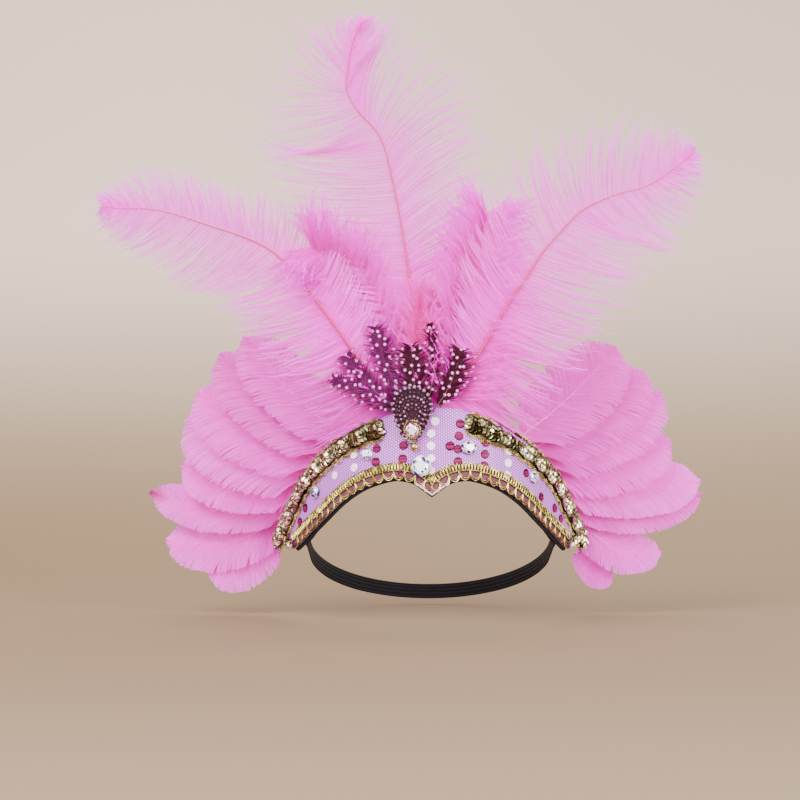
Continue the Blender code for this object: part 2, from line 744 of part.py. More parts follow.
def strap_line(steps):
    """Middle line of the strap from one end on the lining, round the nape, to the other end."""
    behind = lining_depth(0.5) + LINING_WALL + SEAT_GAP + STRAP_WALL / 2
    found = []
    for share in STRAP_SEAT_SHARES:
        flat = crescent(share, STRAP_SEAT_ACROSS)
        found.append(crown_point(flat.x, flat.y, -behind))
    seat_z = found[-1].z
    leaves = found[-1]
    first = Vector((HEAD_HALF_WIDTH, HEAD_WIDEST_Y, seat_z + (STRAP_NAPE_Z - seat_z) * 0.17))
    found += [leaves.lerp(first, 0.3), leaves.lerp(first, 0.64)]
    turns = 8
    for k in range(turns + 1):
        angle = math.pi / 2 * k / turns
        drop = seat_z + (STRAP_NAPE_Z - seat_z) * math.sin(math.pi / 2 * (k + 1) / (turns + 1))
        back = HEAD_WIDEST_Y + (HEAD_BACK_Y - HEAD_WIDEST_Y) * math.sin(angle)
        found.append(Vector((HEAD_HALF_WIDTH * math.cos(angle), back, drop)))
    line = found + [Vector((-p.x, p.y, p.z)) for p in reversed(found[:-1])]
    keyed = [(i, *p) for i, p in enumerate(line)]
    return [Vector(interpolate(keyed, (len(line) - 1) * i / steps)) for i in range(steps + 1)]


def make_strap(finish, home):
    points = strap_line(40)
    rings = []
    for i, point in enumerate(points):
        along = (points[min(i + 1, len(points) - 1)] - points[max(i - 1, 0)]).normalized()
        thick = along.cross(UP).normalized() * STRAP_WALL / 2
        wide = thick.normalized().cross(along).normalized() * STRAP_WIDTH / 2
        corners = (thick + wide, wide - thick, -thick - wide, thick - wide)
        rings.append([point + corner for corner in corners])
    return loft("elastic_strap", rings, finish, home)


def main():
    for old in list(bpy.data.objects):
        bpy.data.objects.remove(old)
    home = collection("feather_headband")
    sequin_cloth = material("sequin_cloth", (0.62, 0.40, 0.72), 0.55)
    black_felt = material("black_felt", (0.012, 0.010, 0.014), 0.95)
    gold_braid = material("gold_braid", (0.55, 0.43, 0.16), 0.32, 0.9)
    gold_bead = material("gold_bead", (0.55, 0.43, 0.16), 0.25, 1.0)
    gold_sequin = material("gold_sequin", (0.62, 0.54, 0.26), 0.22, 1.0)
    clear_stone = material("clear_stone", (0.86, 0.84, 0.93), 0.04)
    motif_beads = material("motif_beads", (0.30, 0.10, 0.18), 0.3, 0.2)
    ostrich_pink = material("ostrich_pink", (0.80, 0.36, 0.68), 0.8)
    down_pink = material("down_pink", (0.88, 0.26, 0.66), 0.9)
    goose_pink = material("goose_pink", (0.80, 0.36, 0.68), 0.6)
    guinea_spotted = material("guinea_spotted", (0.10, 0.02, 0.06), 0.6)
    black_elastic = material("black_elastic", (0.010, 0.009, 0.012), 0.8)

    make_crown(sequin_cloth, home)
    make_lining(black_felt, home)
    make_braid(gold_braid, home)
    make_sequin_trim("sequin_trim_left", -1, 0.26, gold_sequin, home)
    make_sequin_trim("sequin_trim_right", 1, 0.19, gold_sequin, home)
    for name, along, height, width, tall, lift in STONES:
        outward = crown_normal(along, height)
        centre = crown_point(along, height) + outward * lift
        cut_stone(name, centre, outward, width, tall, clear_stone, home)
    make_motif(motif_beads, home)
    x, z, width, tall = MOTIF_STONE
    seat = motif_point(x, z, MOTIF_WALL + SEAT_GAP)
    cut_stone("motif_stone", seat, motif_normal(), width, tall, clear_stone, home)
    make_drop(gold_bead, home)
    for row in GUINEA_FEATHERS:
        guinea_feather(row, guinea_spotted, home)
    for name, rows in PLUME_SHAFTS.items():
        plume(
            name, rows, PLUME_BARBS[name], PLUME_LOCKS[name], PLUME_WALL, PLUME_QUILL_RADIUS,
            PLUME_SWELL, ostrich_pink, home,
        )
    for name, rows in DOWN_SHAFTS.items():
        plume(
            name, rows, DOWN_BARBS[name], DOWN_LOCKS, DOWN_WALL, DOWN_QUILL_RADIUS,
            DOWN_SWELL, down_pink, home,
        )
    for side, rows in GOOSE_FEATHERS.items():
        for i, row in enumerate(rows):
            goose_feather(f"{side}_{i + 1}", row, goose_pink, home)
    make_strap(black_elastic, home)


main()
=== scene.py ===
import math
import bmesh
import bpy
from mathutils import Matrix, Vector


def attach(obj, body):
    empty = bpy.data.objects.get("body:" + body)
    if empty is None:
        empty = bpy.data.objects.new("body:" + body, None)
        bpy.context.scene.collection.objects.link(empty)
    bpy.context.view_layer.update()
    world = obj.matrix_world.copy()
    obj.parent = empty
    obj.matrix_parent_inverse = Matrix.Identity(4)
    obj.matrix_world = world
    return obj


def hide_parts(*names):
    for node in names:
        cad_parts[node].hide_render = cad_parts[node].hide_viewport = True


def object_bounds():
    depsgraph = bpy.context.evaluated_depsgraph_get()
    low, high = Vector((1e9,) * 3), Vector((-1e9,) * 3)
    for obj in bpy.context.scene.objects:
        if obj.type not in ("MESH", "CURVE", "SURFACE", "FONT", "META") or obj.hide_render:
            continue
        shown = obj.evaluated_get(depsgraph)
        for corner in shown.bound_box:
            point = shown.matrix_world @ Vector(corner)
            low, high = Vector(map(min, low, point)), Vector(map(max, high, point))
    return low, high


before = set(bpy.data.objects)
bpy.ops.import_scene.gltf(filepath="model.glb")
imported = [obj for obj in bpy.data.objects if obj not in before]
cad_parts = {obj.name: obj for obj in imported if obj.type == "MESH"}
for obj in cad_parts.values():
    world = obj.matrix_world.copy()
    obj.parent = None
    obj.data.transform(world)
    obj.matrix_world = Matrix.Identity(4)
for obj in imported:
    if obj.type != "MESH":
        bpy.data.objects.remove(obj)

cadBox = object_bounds()
mm = 0.001
upward = Vector((0, 0, 1))
toFront = Vector((0, -1, 0))


# shapes shared with the frame, in millimetres: the crescent laid flat, and the head it goes round

crownForm = {
    "radius": 82.0, "roundHalfAngle": math.radians(55), "lean": math.radians(8),
    "lowerHalf": 115.0, "upperHalf": 143.0, "wall": 2.0, "gap": 0.3, "pocket": 2.8, "inset": 1.2,
    "lower": [
        (0, -6.0), (6, -1.8), (12, 2.0), (18, 3.5), (25, 3.8), (37, 0.9), (48, -3.4),
        (61, -11.0), (76, -21.5), (94, -32.5), (108, -41.0), (115, -44.0),
    ],
    "upper": [
        (0, 50.0), (20, 48.5), (43, 40.5), (57, 35.5), (71, 28.4), (86, 19.9),
        (99, 11.3), (110, 1.2), (118, -9.5), (131, -23.0), (143, -34.0),
    ],
}


def interpolate(rows, at):
    # smooth reading of a table, first column against the others
    i = 0
    while i < len(rows) - 2 and at > rows[i + 1][0]:
        i += 1
    before, first = rows[max(i - 1, 0)], rows[i]
    second, after = rows[i + 1], rows[min(i + 2, len(rows) - 1)]
    t = (at - first[0]) / (second[0] - first[0])
    found = []
    for k in range(1, len(first)):
        startSlope = (second[k] - before[k]) / (second[0] - before[0]) * (second[0] - first[0])
        endSlope = (after[k] - first[k]) / (after[0] - first[0]) * (second[0] - first[0])
        found.append(
            first[k] * (1 + t * t * (2 * t - 3)) + startSlope * t * (1 - t) ** 2
            + second[k] * t * t * (3 - 2 * t) - endSlope * t * t * (1 - t)
        )
    return found


def smoothStep(low, high, value):
    t = min(1.0, max(0.0, (value - low) / (high - low)))
    return t * t * (3 - 2 * t)


def plan(along):
    side = math.copysign(1, along)
    angle = min(abs(along) / crownForm["radius"], crownForm["roundHalfAngle"])
    straight = max(abs(along) - crownForm["radius"] * crownForm["roundHalfAngle"], 0)
    outward = Vector((side * math.sin(angle), -math.cos(angle), 0))
    tangent = Vector((side * math.cos(angle), math.sin(angle), 0))
    return outward * crownForm["radius"] + tangent * straight, outward


def crownPoint(along, height, lift=0.0):
    point, outward = plan(along)
    lean = math.tan(crownForm["lean"]) * max(0, 1 - (along / crownForm["upperHalf"]) ** 2)
    return point + outward * (lift - height * lean) + upward * height


def crownNormal(along, height):
    sideways = crownPoint(along + 1, height) - crownPoint(along - 1, height)
    return sideways.cross(crownPoint(along, height + 1) - crownPoint(along, height - 1)).normalized()


def quillSeat(along, height):
    return crownPoint(along, height, -crownForm["wall"] - (crownForm["gap"] + crownForm["pocket"]) / 2)


def liningDepth(across):
    openUp = min(1.0, across / 0.5)
    return crownForm["wall"] + crownForm["gap"] + crownForm["pocket"] * openUp * openUp * (3 - 2 * openUp)


def edgeAt(edge, share):
    along = abs(share) * crownForm[edge + "Half"]
    return Vector((math.copysign(along, share), interpolate(crownForm[edge], along)[0]))


def crescent(share, across):
    return edgeAt("lower", share).lerp(edgeAt("upper", share), across)


def onCrown(flat, lift=0.0):
    return crownPoint(flat.x, flat.y, lift)


def edgeFrame(edge, share, step):
    # a place on an edge of the flat crescent, and the way in from it
    ahead, behind = edgeAt(edge, min(share + step, 1)), edgeAt(edge, max(share - step, -1))
    along = (ahead - behind).normalized()
    return edgeAt(edge, share), Vector((-along.y, along.x)) if edge == "lower" else Vector((along.y, -along.x))


view = {"distance": 1500, "crownDepth": 82, "x": -19.8, "z": 53.3}


def seenFromFront(x, z, depth):
    # what lies further back looks smaller, so it is made larger
    spread = 1 + (depth + view["crownDepth"]) / view["distance"]
    return Vector((view["x"] + (x - view["x"]) * spread, depth, view["z"] + (z - view["z"]) * spread))


# node wiring

class Value:
    # a socket that takes part in plain arithmetic, with a math node for each step
    def __init__(self, wiring, socket):
        self.wiring, self.socket = wiring, socket

    def __add__(self, other):
        return self.wiring.sum("ADD", self, other)

    def __radd__(self, other):
        return self.wiring.sum("ADD", other, self)

    def __sub__(self, other):
        return self.wiring.sum("SUBTRACT", self, other)

    def __rsub__(self, other):
        return self.wiring.sum("SUBTRACT", other, self)

    def __mul__(self, other):
        return self.wiring.sum("MULTIPLY", self, other)

    def __truediv__(self, other):
        return self.wiring.sum("DIVIDE", self, other)

    def __mod__(self, other):
        return self.wiring.sum("MODULO", self, other)

    def __pow__(self, other):
        return self.wiring.sum("POWER", self, other)


def linear(r, g, b):
    return tuple(((c / 255) / 12.92 if c < 10.3 else ((c / 255 + 0.055) / 1.055) ** 2.4) for c in (r, g, b)) + (1.0,)


class Wiring:
    # shorthand for node trees: values go to the enabled sockets in their order, and None leaves one as it is
    def __init__(self, tree):
        self.tree = tree

    def put(self, socket, value):
        if isinstance(value, Value):
            self.tree.links.new(value.socket, socket)
        elif value is not None:
            socket.default_value = value

    def node(self, kind, *values, **settings):
        made = self.tree.nodes.new(kind)
        for name, value in settings.items():
            setattr(made, name, value)
        for socket, value in zip([s for s in made.inputs if s.enabled], values):
            self.put(socket, value)
        return made

    def get(self, kind, *values, **settings):
        return Value(self, next(s for s in self.node(kind, *values, **settings).outputs if s.enabled))

    def out(self, name, kind, *values, **settings):
        return Value(self, self.node(kind, *values, **settings).outputs[name])

    def sum(self, operation, *values):
        return self.get("ShaderNodeMath", *values, operation=operation)

    def vector(self, operation, *values):
        return self.get("ShaderNodeVectorMath", *values, operation=operation)

    def scaled(self, vector, factor):
        made = self.node("ShaderNodeVectorMath", operation="SCALE")
        self.put(made.inputs[0], vector)
        self.put(made.inputs["Scale"], factor)
        return Value(self, made.outputs[0])

    def point(self, x, y, z=0.0):
        return self.get("ShaderNodeCombineXYZ", x, y, z)

    def parts(self, vector):
        return [Value(self, s) for s in self.node("ShaderNodeSeparateXYZ", vector).outputs]

    def ramp(self, value, low, high, toLow=0.0, toHigh=1.0):
        return self.get("ShaderNodeMapRange", value, low, high, toLow, toHigh, interpolation_type="SMOOTHSTEP")

    def blend(self, factor, a, b):
        return self.get("ShaderNodeMix", factor, a, b)

    def colour(self, factor, *pair):
        # three numbers are a colour as a screen shows it
        a, b = (linear(*c) if isinstance(c, tuple) and len(c) == 3 else c for c in pair)
        return self.get("ShaderNodeMix", factor, a, b, data_type="RGBA")

    def noise(self, place, *values):
        return self.get("ShaderNodeTexNoise", place, *values)

    def random(self, low, high, index, seed):
        return self.get("FunctionNodeRandomValue", low, high, index, seed)

    def named(self, name, what="FLOAT"):
        return self.get("GeometryNodeInputNamedAttribute", name, data_type=what)

    def namedVector(self, name):
        return self.named(name, "FLOAT_VECTOR")

    def labelled(self, geometry, name, value, what="FLOAT", domain="POINT"):
        return self.get("GeometryNodeStoreNamedAttribute", geometry, None, name, value, data_type=what, domain=domain)

    def baked(self, geometry, x, y):
        return self.labelled(geometry, "OFBake", self.point(x, y), "FLOAT2", "CORNER")

    def line(self, start, end):
        return self.get("GeometryNodeCurvePrimitiveLine", start, end, mode="POINTS")

    def resampled(self, curve, count):
        return self.get("GeometryNodeResampleCurve", curve, None, count, mode="COUNT")

    def tube(self, curve, sides, radius):
        ring = self.get("GeometryNodeCurvePrimitiveCircle", sides, None, None, None, 1.0)
        ring = self.labelled(ring, "across", self.get("GeometryNodeInputIndex"))
        return self.get("GeometryNodeCurveToMesh", curve, ring, radius, True)

    def joined(self, *geometries):
        join = self.node("GeometryNodeJoinGeometry")
        for geometry in geometries:
            self.put(join.inputs[0], geometry)
        return Value(self, join.outputs[0])

    def realized(self, geometry):
        return self.get("GeometryNodeRealizeInstances", geometry)

    def finished(self, geometry, finish):
        return self.get("GeometryNodeSetMaterial", geometry, None, finish)


socketKinds = {
    "geometry": "NodeSocketGeometry", "int": "NodeSocketInt", "float": "NodeSocketFloat",
    "material": "NodeSocketMaterial", "colour": "NodeSocketColor", "object": "NodeSocketObject",
}


def newTree(name, kind, inputs, outputs):
    # inputs by name, each with the number it starts from or, without one, its kind of socket
    tree = bpy.data.node_groups.new(name, kind)
    for label, value in inputs.items():
        what = value if isinstance(value, str) else type(value).__name__
        socket = tree.interface.new_socket(label, in_out="INPUT", socket_type=socketKinds[what])
        if what != value:
            socket.default_value = value
    for label, what in outputs.items():
        tree.interface.new_socket(label, in_out="OUTPUT", socket_type=socketKinds[what])
    w = Wiring(tree)
    return tree, w, {s.name: Value(w, s) for s in w.node("NodeGroupInput").outputs}


def placed(name, data):
    made = bpy.data.objects.new(name, data)
    bpy.context.scene.collection.objects.link(made)
    return made


def applied(holder):
    # the holder's mesh with its modifiers applied, as a plain mesh
    graph = bpy.context.evaluated_depsgraph_get()
    found = bpy.data.meshes.new_from_object(holder.evaluated_get(graph), preserve_all_data_layers=True, depsgraph=graph)
    holder.modifiers.clear()
    bpy.data.objects.remove(holder)
    return found


def runTree(tree, mesh, values):
    # puts the tree on the mesh, with its inputs set by identifier
    holder = placed("holder", mesh)
    modifier = holder.modifiers.new("nodes", "NODES")
    modifier.node_group = tree
    for item in tree.interface.items_tree:
        if item.item_type == "SOCKET" and item.in_out == "INPUT" and item.name in values:
            modifier[item.identifier] = values[item.name]
    return applied(holder)


# pieces

tally = {}
workLayers = ("barbUv", "bladeUv", "across", "outward", "inward")
thinnest, widened = 1e-9, 0.003


def finishPiece(name, meshes, nodes, slotName):
    # joins meshes into one piece that stands for its CAD nodes
    work, finishes = bmesh.new(), []
    for mesh in meshes:
        finishes += [finish for finish in mesh.materials if finish not in finishes]
        remap = [finishes.index(finish) for finish in mesh.materials]
        if mesh.polygons and remap:
            old = [0] * len(mesh.polygons)
            mesh.polygons.foreach_get("material_index", old)
            mesh.polygons.foreach_set("material_index", [remap[min(m, len(remap) - 1)] for m in old])
        work.from_mesh(mesh)
    joined = bpy.data.meshes.new(name)
    work.to_mesh(joined)
    work.free()
    for finish in finishes:
        joined.materials.append(finish)
    layer = joined.uv_layers["OFBake"].data
    for face in joined.polygons:
        # a wall's rim has no width in the map: give it a little
        spots = [layer[k].uv for k in face.loop_indices]
        area = sum(a.x * b.y - b.x * a.y for a, b in zip(spots, spots[1:] + spots[:1]))
        if abs(area) < thinnest:
            for k, loop in enumerate(face.loop_indices):
                x, y = layer[loop].uv
                layer[loop].uv = (x + widened * (k in (1, 2)), y + widened * (k > 1))
    for spare in [a.name for a in joined.attributes if a.name in workLayers]:
        joined.attributes.remove(joined.attributes[spare])
    piece = placed(name, joined)
    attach(piece, "root")
    if nodes:
        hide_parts(*nodes)
    tally[name] = sum(len(p.vertices) - 2 for p in joined.polygons)


def meshOf(name, points, faces, uvs, finish=None, layerName="OFBake", smooth=True):
    mesh = bpy.data.meshes.new(name)
    mesh.from_pydata(points, [], faces)
    layer = mesh.uv_layers.new(name=layerName).data
    for loop in mesh.loops:
        layer[loop.index].uv = uvs[loop.vertex_index]
    if smooth:
        mesh.shade_smooth()
    if finish:
        mesh.materials.append(finish)
    return mesh


def gridMesh(name, place, columns, rows, finish, uvOf=None, flip=False):
    # a sheet through place(u, v) in millimetres, with OFBake just within 0 to 1 unless uvOf gives it
    points, uvs, faces = [], [], []
    for r in range(rows + 1):
        for c in range(columns + 1):
            u, v = c / columns, r / rows
            points.append(place(u, v) * mm)
            uvs.append(uvOf(u, v) if uvOf else (0.002 + u * 0.996, 0.002 + v * 0.996))
    for r in range(rows):
        for c in range(columns):
            a = r * (columns + 1) + c
            quad = (a, a + 1, a + columns + 2, a + columns + 1)
            faces.append(quad[::-1] if flip else quad)
    return meshOf(name, points, faces, uvs, finish)


def thickened(mesh, wall, offset=-1.0):
    # the sheet given its wall by Solidify
    holder = placed("holder", mesh)
    modifier = holder.modifiers.new("wall", "SOLIDIFY")
    modifier.thickness, modifier.offset, modifier.use_even_offset = wall * mm, offset, False
    return applied(holder)


# camera, floor and light

studio = {
    "camera": (-0.01984, -1.582, 0.0533), "lens": 108.9, "sensor": 36.0, "world": (0.93, 0.94, 1.0, 1),
    "worldStrength": 1.8,
    "floorBelow": 0.004, "floorFront": -3.0, "floorDepth": 0.2, "wallHigh": 3.4, "wide": 3.6, "sweep": 3.0, "steps": 32,
    "paper": (206, 181, 160), "paperShadedLow": (112, 87, 56), "paperLitNear": (124, 101, 76), "shade": (0.2, 0.15, 0.1, 1),
    "lights": [
        # name, place, target, size, watts
        ("keyLight", (-0.9, -1.5, 1.5), (0, 0, 0.1), 1.1, 72),
        ("fillLight", (1.2, -1.4, 0.35), (0, 0, 0.05), 1.2, 56),
        ("topLight", (0.1, 0.2, 1.5), (0, -0.05, 0.1), 0.9, 16),
        ("wallLight", (0.0, 0.9, 1.7), (0, 2.2, 0.6), 1.8, 28),
        ("lowLight", (-0.8, -1.2, 0.02), (-0.12, 0, 0.0), 0.8, 11),
    ],
}


def makeStudio():
    camera = bpy.data.cameras.new("camera")
    camera.lens, camera.sensor_width = studio["lens"], studio["sensor"]
    holder = placed("camera", camera)
    holder.location, holder.rotation_euler = studio["camera"], (math.pi / 2, 0, 0)
    bpy.context.scene.camera = holder

    paper, w = newFinish("studioPaper")
    place = w.out("Object", "ShaderNodeTexCoord")
    x, y, z = w.parts(place)
    # painted shade darkens the paper towards the floor, and painted light lightens the floor near the front
    base = w.colour(w.ramp(y, -0.3, -0.75), studio["paperShadedLow"], studio["paperLitNear"])
    base = w.colour(w.ramp(z, -0.09, 0.3), base, studio["paper"])
    # painted shade: the paper darkens a little to the right, away from the key light
    shade = w.ramp(x, -0.45, 0.45, 0.0, 0.19) + w.noise(place, 3.0, 2.0) * 0.06
    painted(paper, w, {"Roughness": 0.9, "Base Color": w.colour(shade, base, studio["shade"])})

    low, depth, sweep = cadBox[0].z - studio["floorBelow"], studio["floorDepth"], studio["sweep"]
    turns = [math.pi / 2 * k / studio["steps"] for k in range(1, studio["steps"] + 1)]
    profile = [(studio["floorFront"], low), (depth, low)]
    profile += [(depth + sweep * math.sin(turn), low + sweep * (1 - math.cos(turn))) for turn in turns]
    profile.append((depth + sweep, studio["wallHigh"]))
    points = [(x, y, z) for y, z in profile for x in (-studio["wide"], studio["wide"])]
    mesh = bpy.data.meshes.new("backdrop")
    mesh.from_pydata(points, [], [(2 * i, 2 * i + 1, 2 * i + 3, 2 * i + 2) for i in range(len(profile) - 1)])
    mesh.shade_smooth()
    mesh.materials.append(paper)
    placed("backdrop", mesh)

    for name, place, target, size, watts in studio["lights"]:
        light = bpy.data.lights.new(name, "AREA")
        light.size, light.energy = size, watts
        made = placed(name, light)
        made.location = place
        made.rotation_euler = (Vector(target) - Vector(place)).to_track_quat("-Z", "Y").to_euler()
    world = bpy.data.worlds.new("softRoom")
    world.use_nodes = True
    background = world.node_tree.nodes["Background"].inputs
    background["Color"].default_value, background["Strength"].default_value = studio["world"], studio["worldStrength"]
    bpy.context.scene.world = world


# finishes

def newFinish(name):
    made = bpy.data.materials.new(name)
    made.use_nodes = True
    return made, Wiring(made.node_tree)


def painted(made, w, settings, bump=None):
    # sets or links the shader's inputs by name; bump is height, strength and depth
    shader = made.node_tree.nodes["Principled BSDF"]
    for label, value in settings.items():
        w.put(shader.inputs[label], value)
    if bump:
        node = w.node("ShaderNodeBump")
        for label, value in zip(("Height", "Strength", "Distance"), bump):
            w.put(node.inputs[label], value)
        w.put(shader.inputs["Normal"], Value(w, node.outputs[0]))
    return made


def uvParts(w):
    return w.parts(w.out("UV", "ShaderNodeUVMap", uv_map="OFBake"))[:2]


def makeDyeGroup():
    # dye of a feather with painted shade: deep near the shaft and root, partly the dye and partly painted shade where
    # the barbs crowd, pale towards the barb ends, uneven from barb to barb
    tree, w, given = newTree(
        "featherDyeAndShade", "ShaderNodeTree",
        {
            "Along": 0.0, "Across": 0.0, "Deep": "colour", "Middle": "colour", "Pale": "colour",
            "Root reach": 0.5, "Unevenness": 0.2,
        },
        {"Colour": "colour", "Roughness": "float"},
    )
    along, across, rootReach = given["Along"], given["Across"], given["Root reach"]
    strand = w.noise(w.point(along * 260.0, across * 2.0), 1.0, 1.0)
    reach = across * 0.75 + along * 0.55 + (w.noise(w.point(along, across), 7.0, 2.0) - 0.5) * 0.5
    dyedAndShaded = w.colour(w.ramp(reach, 0.0, rootReach), given["Deep"], given["Middle"])
    dyedAndShaded = w.colour(w.ramp(reach, rootReach, 1.25), dyedAndShaded, given["Pale"])
    shade = (strand - 0.5) * given["Unevenness"]
    dyedAndShaded = w.get("ShaderNodeHueSaturation", 0.5, 1.0 - shade, 1.0 + shade, 1.0, dyedAndShaded)
    w.node("NodeGroupOutput", dyedAndShaded, 0.5 + strand * 0.25)
    return tree


dyeAndShade = makeDyeGroup()


def featherMaterial(name, deep, middle, pale, rootReach, unevenness, through, tipDark=None):
    made, w = newFinish(name)
    along, across = uvParts(w)
    group = w.node("ShaderNodeGroup")
    group.node_tree = dyeAndShade
    given = {
        "Along": along, "Across": across, "Deep": linear(*deep), "Middle": linear(*middle), "Pale": linear(*pale),
        "Root reach": rootReach, "Unevenness": unevenness,
    }
    for label, value in given.items():
        w.put(group.inputs[label], value)
    colour, roughness = (Value(w, s) for s in group.outputs)
    if tipDark:
        colour = w.colour(w.ramp(along, 0.82, 1.0), colour, tipDark)
    painted(made, w, {"Base Color": colour, "Roughness": roughness, "Specular IOR Level": 0.12})
    shader = Value(w, made.node_tree.nodes["Principled BSDF"].outputs[0])
    mixed = w.get("ShaderNodeMixShader", through, shader, w.get("ShaderNodeBsdfTranslucent", colour))
    w.put(made.node_tree.nodes["Material Output"].inputs["Surface"], mixed)
    return made


def shaftMaterial(name, root, tip):
    made, w = newFinish(name)
    along, across = uvParts(w)
    grain = w.noise(w.point(along, across), 60.0, 2.0)
    base = w.colour(grain * 0.06, w.colour(along, root, tip), (1.0, 0.75, 0.85, 1))
    return painted(made, w, {
        "Base Color": base, "Roughness": w.ramp(grain, 0.2, 0.8, 0.3, 0.5), "Specular IOR Level": 0.2,
    })


def guineaMaterial(name, dark, light, dots, pitch):
    # dots by place on the feather as seen from the front, over a dark ground that pales at the barbs' ends
    made, w = newFinish(name)
    along, across = uvParts(w)
    x, _, z = w.parts(w.out("Object", "ShaderNodeTexCoord"))
    spots = w.node("ShaderNodeTexVoronoi", w.point(x, z), 1000 / pitch, voronoi_dimensions="2D")
    spots.inputs["Randomness"].default_value = 0.75
    dot = w.ramp(Value(w, spots.outputs["Distance"]), 0.13, 0.23, 1.0, 0.0)
    strand = w.noise(w.point(along * 150.0, across), 1.0, 1.0)
    ground = w.colour(w.ramp(across, 0.55, 1.05, 0.0, 0.7), w.colour(strand, dark, light), (190, 50, 150))
    return painted(made, w, {
        "Base Color": w.colour(dot, ground, dots), "Roughness": w.ramp(strand, 0.0, 1.0, 0.45, 0.7),
        "Specular IOR Level": 0.12,
    })


def metalMaterial(name, light, dark, roughness, scale):
    made, w = newFinish(name)
    place = w.out("Object", "ShaderNodeTexCoord")
    patch, fine = w.noise(place, scale, 3.0), w.noise(place, scale * 9, 2.0)
    return painted(made, w, {
        "Base Color": w.colour(w.ramp(patch, 0.35, 0.65), dark, light), "Metallic": 1.0,
        "Roughness": w.ramp(fine, 0.3, 0.7, roughness * 0.7, roughness * 1.4),
    }, (fine, 0.25, 0.0002))


# barbs on a vane, for every feather

def makeBarbTree():
    # the vane's sheet carries UV map "vane": x is the share up the shaft, plus 2 on the second side, and y how far
    # out along a barb, where 0.86 is a barb's plain end
    tree, w, given = newTree(
        "barbsOnVane", "GeometryNodeTree",
        {
            "Vane": "geometry", "Barbs a side": 200, "Points a barb": 9, "Bare quill": 0.1, "Crowding": 1.0,
            "Root fullness": 1.0, "Barb width": 0.0003, "End width": 0.3, "Locks": 20.0, "Draw together": 0.5,
            "Draw from": 0.4, "Uneven length": 0.15, "Stray": 0.002, "Ruffle": 0.002, "Lock stand": 0.001,
            "Barbules": 40, "Barbule length": 0.0025, "Barbule width": 0.00012, "Shaft radius": 0.0008,
            "Shaft lift": 0.4, "Seed": 0, "Barb finish": "material", "Shaft finish": "material",
        },
        {"Feather": "geometry"},
    )
    vane, seed, bare, uneven = (given[k] for k in ("Vane", "Seed", "Bare quill", "Uneven length"))
    one = w.resampled(w.line((0, 0, 0), (1, 0, 0)), given["Points a barb"])
    places = w.get("GeometryNodeMeshLine", given["Barbs a side"] * 2.0, None, (0, 0, 0), (0, 0, 0))
    barbs = w.realized(w.get("GeometryNodeInstanceOnPoints", places, None, one))

    number = w.get("GeometryNodeInputIndex")
    index = w.get("GeometryNodeFieldOnDomain", number, domain="CURVE", data_type="INT")
    t = w.out("Factor", "GeometryNodeSplineParameter")
    side = index % 2.0
    rising = (w.sum("FLOOR", index / 2.0) + w.random(0.1, 0.9, index, seed)) / given["Barbs a side"]
    base = bare + rising ** given["Crowding"] * (1.0 - bare)

    # barbs draw together at their ends: into small locks first, and those into larger ones
    def lockOf(count, shift):
        warped = base * count + w.sum("SINE", base * (count * 1.7) + shift)
        lock = w.sum("FLOOR", warped + side * 0.5)
        return lock, (lock + 0.5 - side * 0.5 - warped) / count

    lockLarge, toLarge = lockOf(given["Locks"], seed * 1.3)
    lockSmall, toSmall = lockOf(given["Locks"] * 4.3, seed * 2.1)
    keen = w.random(0.35, 1.0, lockLarge + side * 500.0, seed)
    drawn = w.ramp(t, given["Draw from"], 1.0) * given["Draw together"] * keen
    drawnSmall = w.ramp(t, 0.2, 0.9) * (given["Draw together"] * 0.9)
    wander = w.random(-0.012, 0.012, index, seed + 3.0) * (t * t)
    share = base + (toLarge * drawn + toSmall * drawnSmall) + wander
    share = w.sum("MINIMUM", w.sum("MAXIMUM", share, 0.0005), 0.9995)

    short = 1.0 - uneven * w.random(0.0, 1.0, index, seed + 5.0)
    lockShort = 1.0 - uneven * 0.6 * w.random(0.0, 1.0, lockSmall + side * 900.0, seed + 6.0)
    long = w.sum("GREATER_THAN", w.random(0.0, 1.0, index, seed + 9.0), 0.96) * (uneven * 0.6)
    reach = w.sum("MINIMUM", short * lockShort + long, 1.16) * (t * 0.86)

    vaneUv = w.namedVector("vane")
    position, normal = w.get("GeometryNodeInputPosition"), w.get("GeometryNodeInputNormal")

    def onVane(x, y):
        # the place there, and the way the vane faces
        found = [
            w.get("GeometryNodeSampleUVSurface", vane, value, vaneUv, w.point(x, y), data_type="FLOAT_VECTOR")
            for value in (position, normal)
        ]
        return found[0], w.vector("NORMALIZE", found[1])

    spot, facing = onVane(share + side * 2.0, reach)
    bent = t ** 1.5
    lift = w.random(-1.0, 1.0, index, seed + 11.0) * given["Stray"] * bent
    standing = w.random(-1.0, 1.0, lockLarge + side * 700.0, seed + 13.0) * (given["Lock stand"] * bent)
    shifted = w.vector("ADD", spot, w.point(index * 0.003, seed * 0.3))
    push = w.vector("SUBTRACT", w.out("Color", "ShaderNodeTexNoise", shifted, 45.0, 2.0), (0.5, 0.5, 0.5))
    push = w.scaled(push, given["Ruffle"] * 2.0 * bent)
    moved = w.vector("ADD", spot, w.vector("ADD", w.scaled(facing, lift + standing), push))
    barbs = w.get("GeometryNodeSetPosition", barbs, None, moved)
    place = w.point((base + side * 0.0013) * 0.98, t * 0.97)
    barbs = w.labelled(barbs, "barbUv", place, "FLOAT_VECTOR")
    leaned = w.vector("CROSS_PRODUCT", facing, w.get("GeometryNodeInputTangent"))
    leaned = w.vector("ADD", facing, w.scaled(leaned, w.random(-0.5, 0.5, index, seed + 15.0)))
    barbs = w.labelled(barbs, "outward", w.vector("NORMALIZE", leaned), "FLOAT_VECTOR")
    outward = w.namedVector("outward")
    barbs = w.get("GeometryNodeSetCurveNormal", barbs, None, outward, mode="FREE")

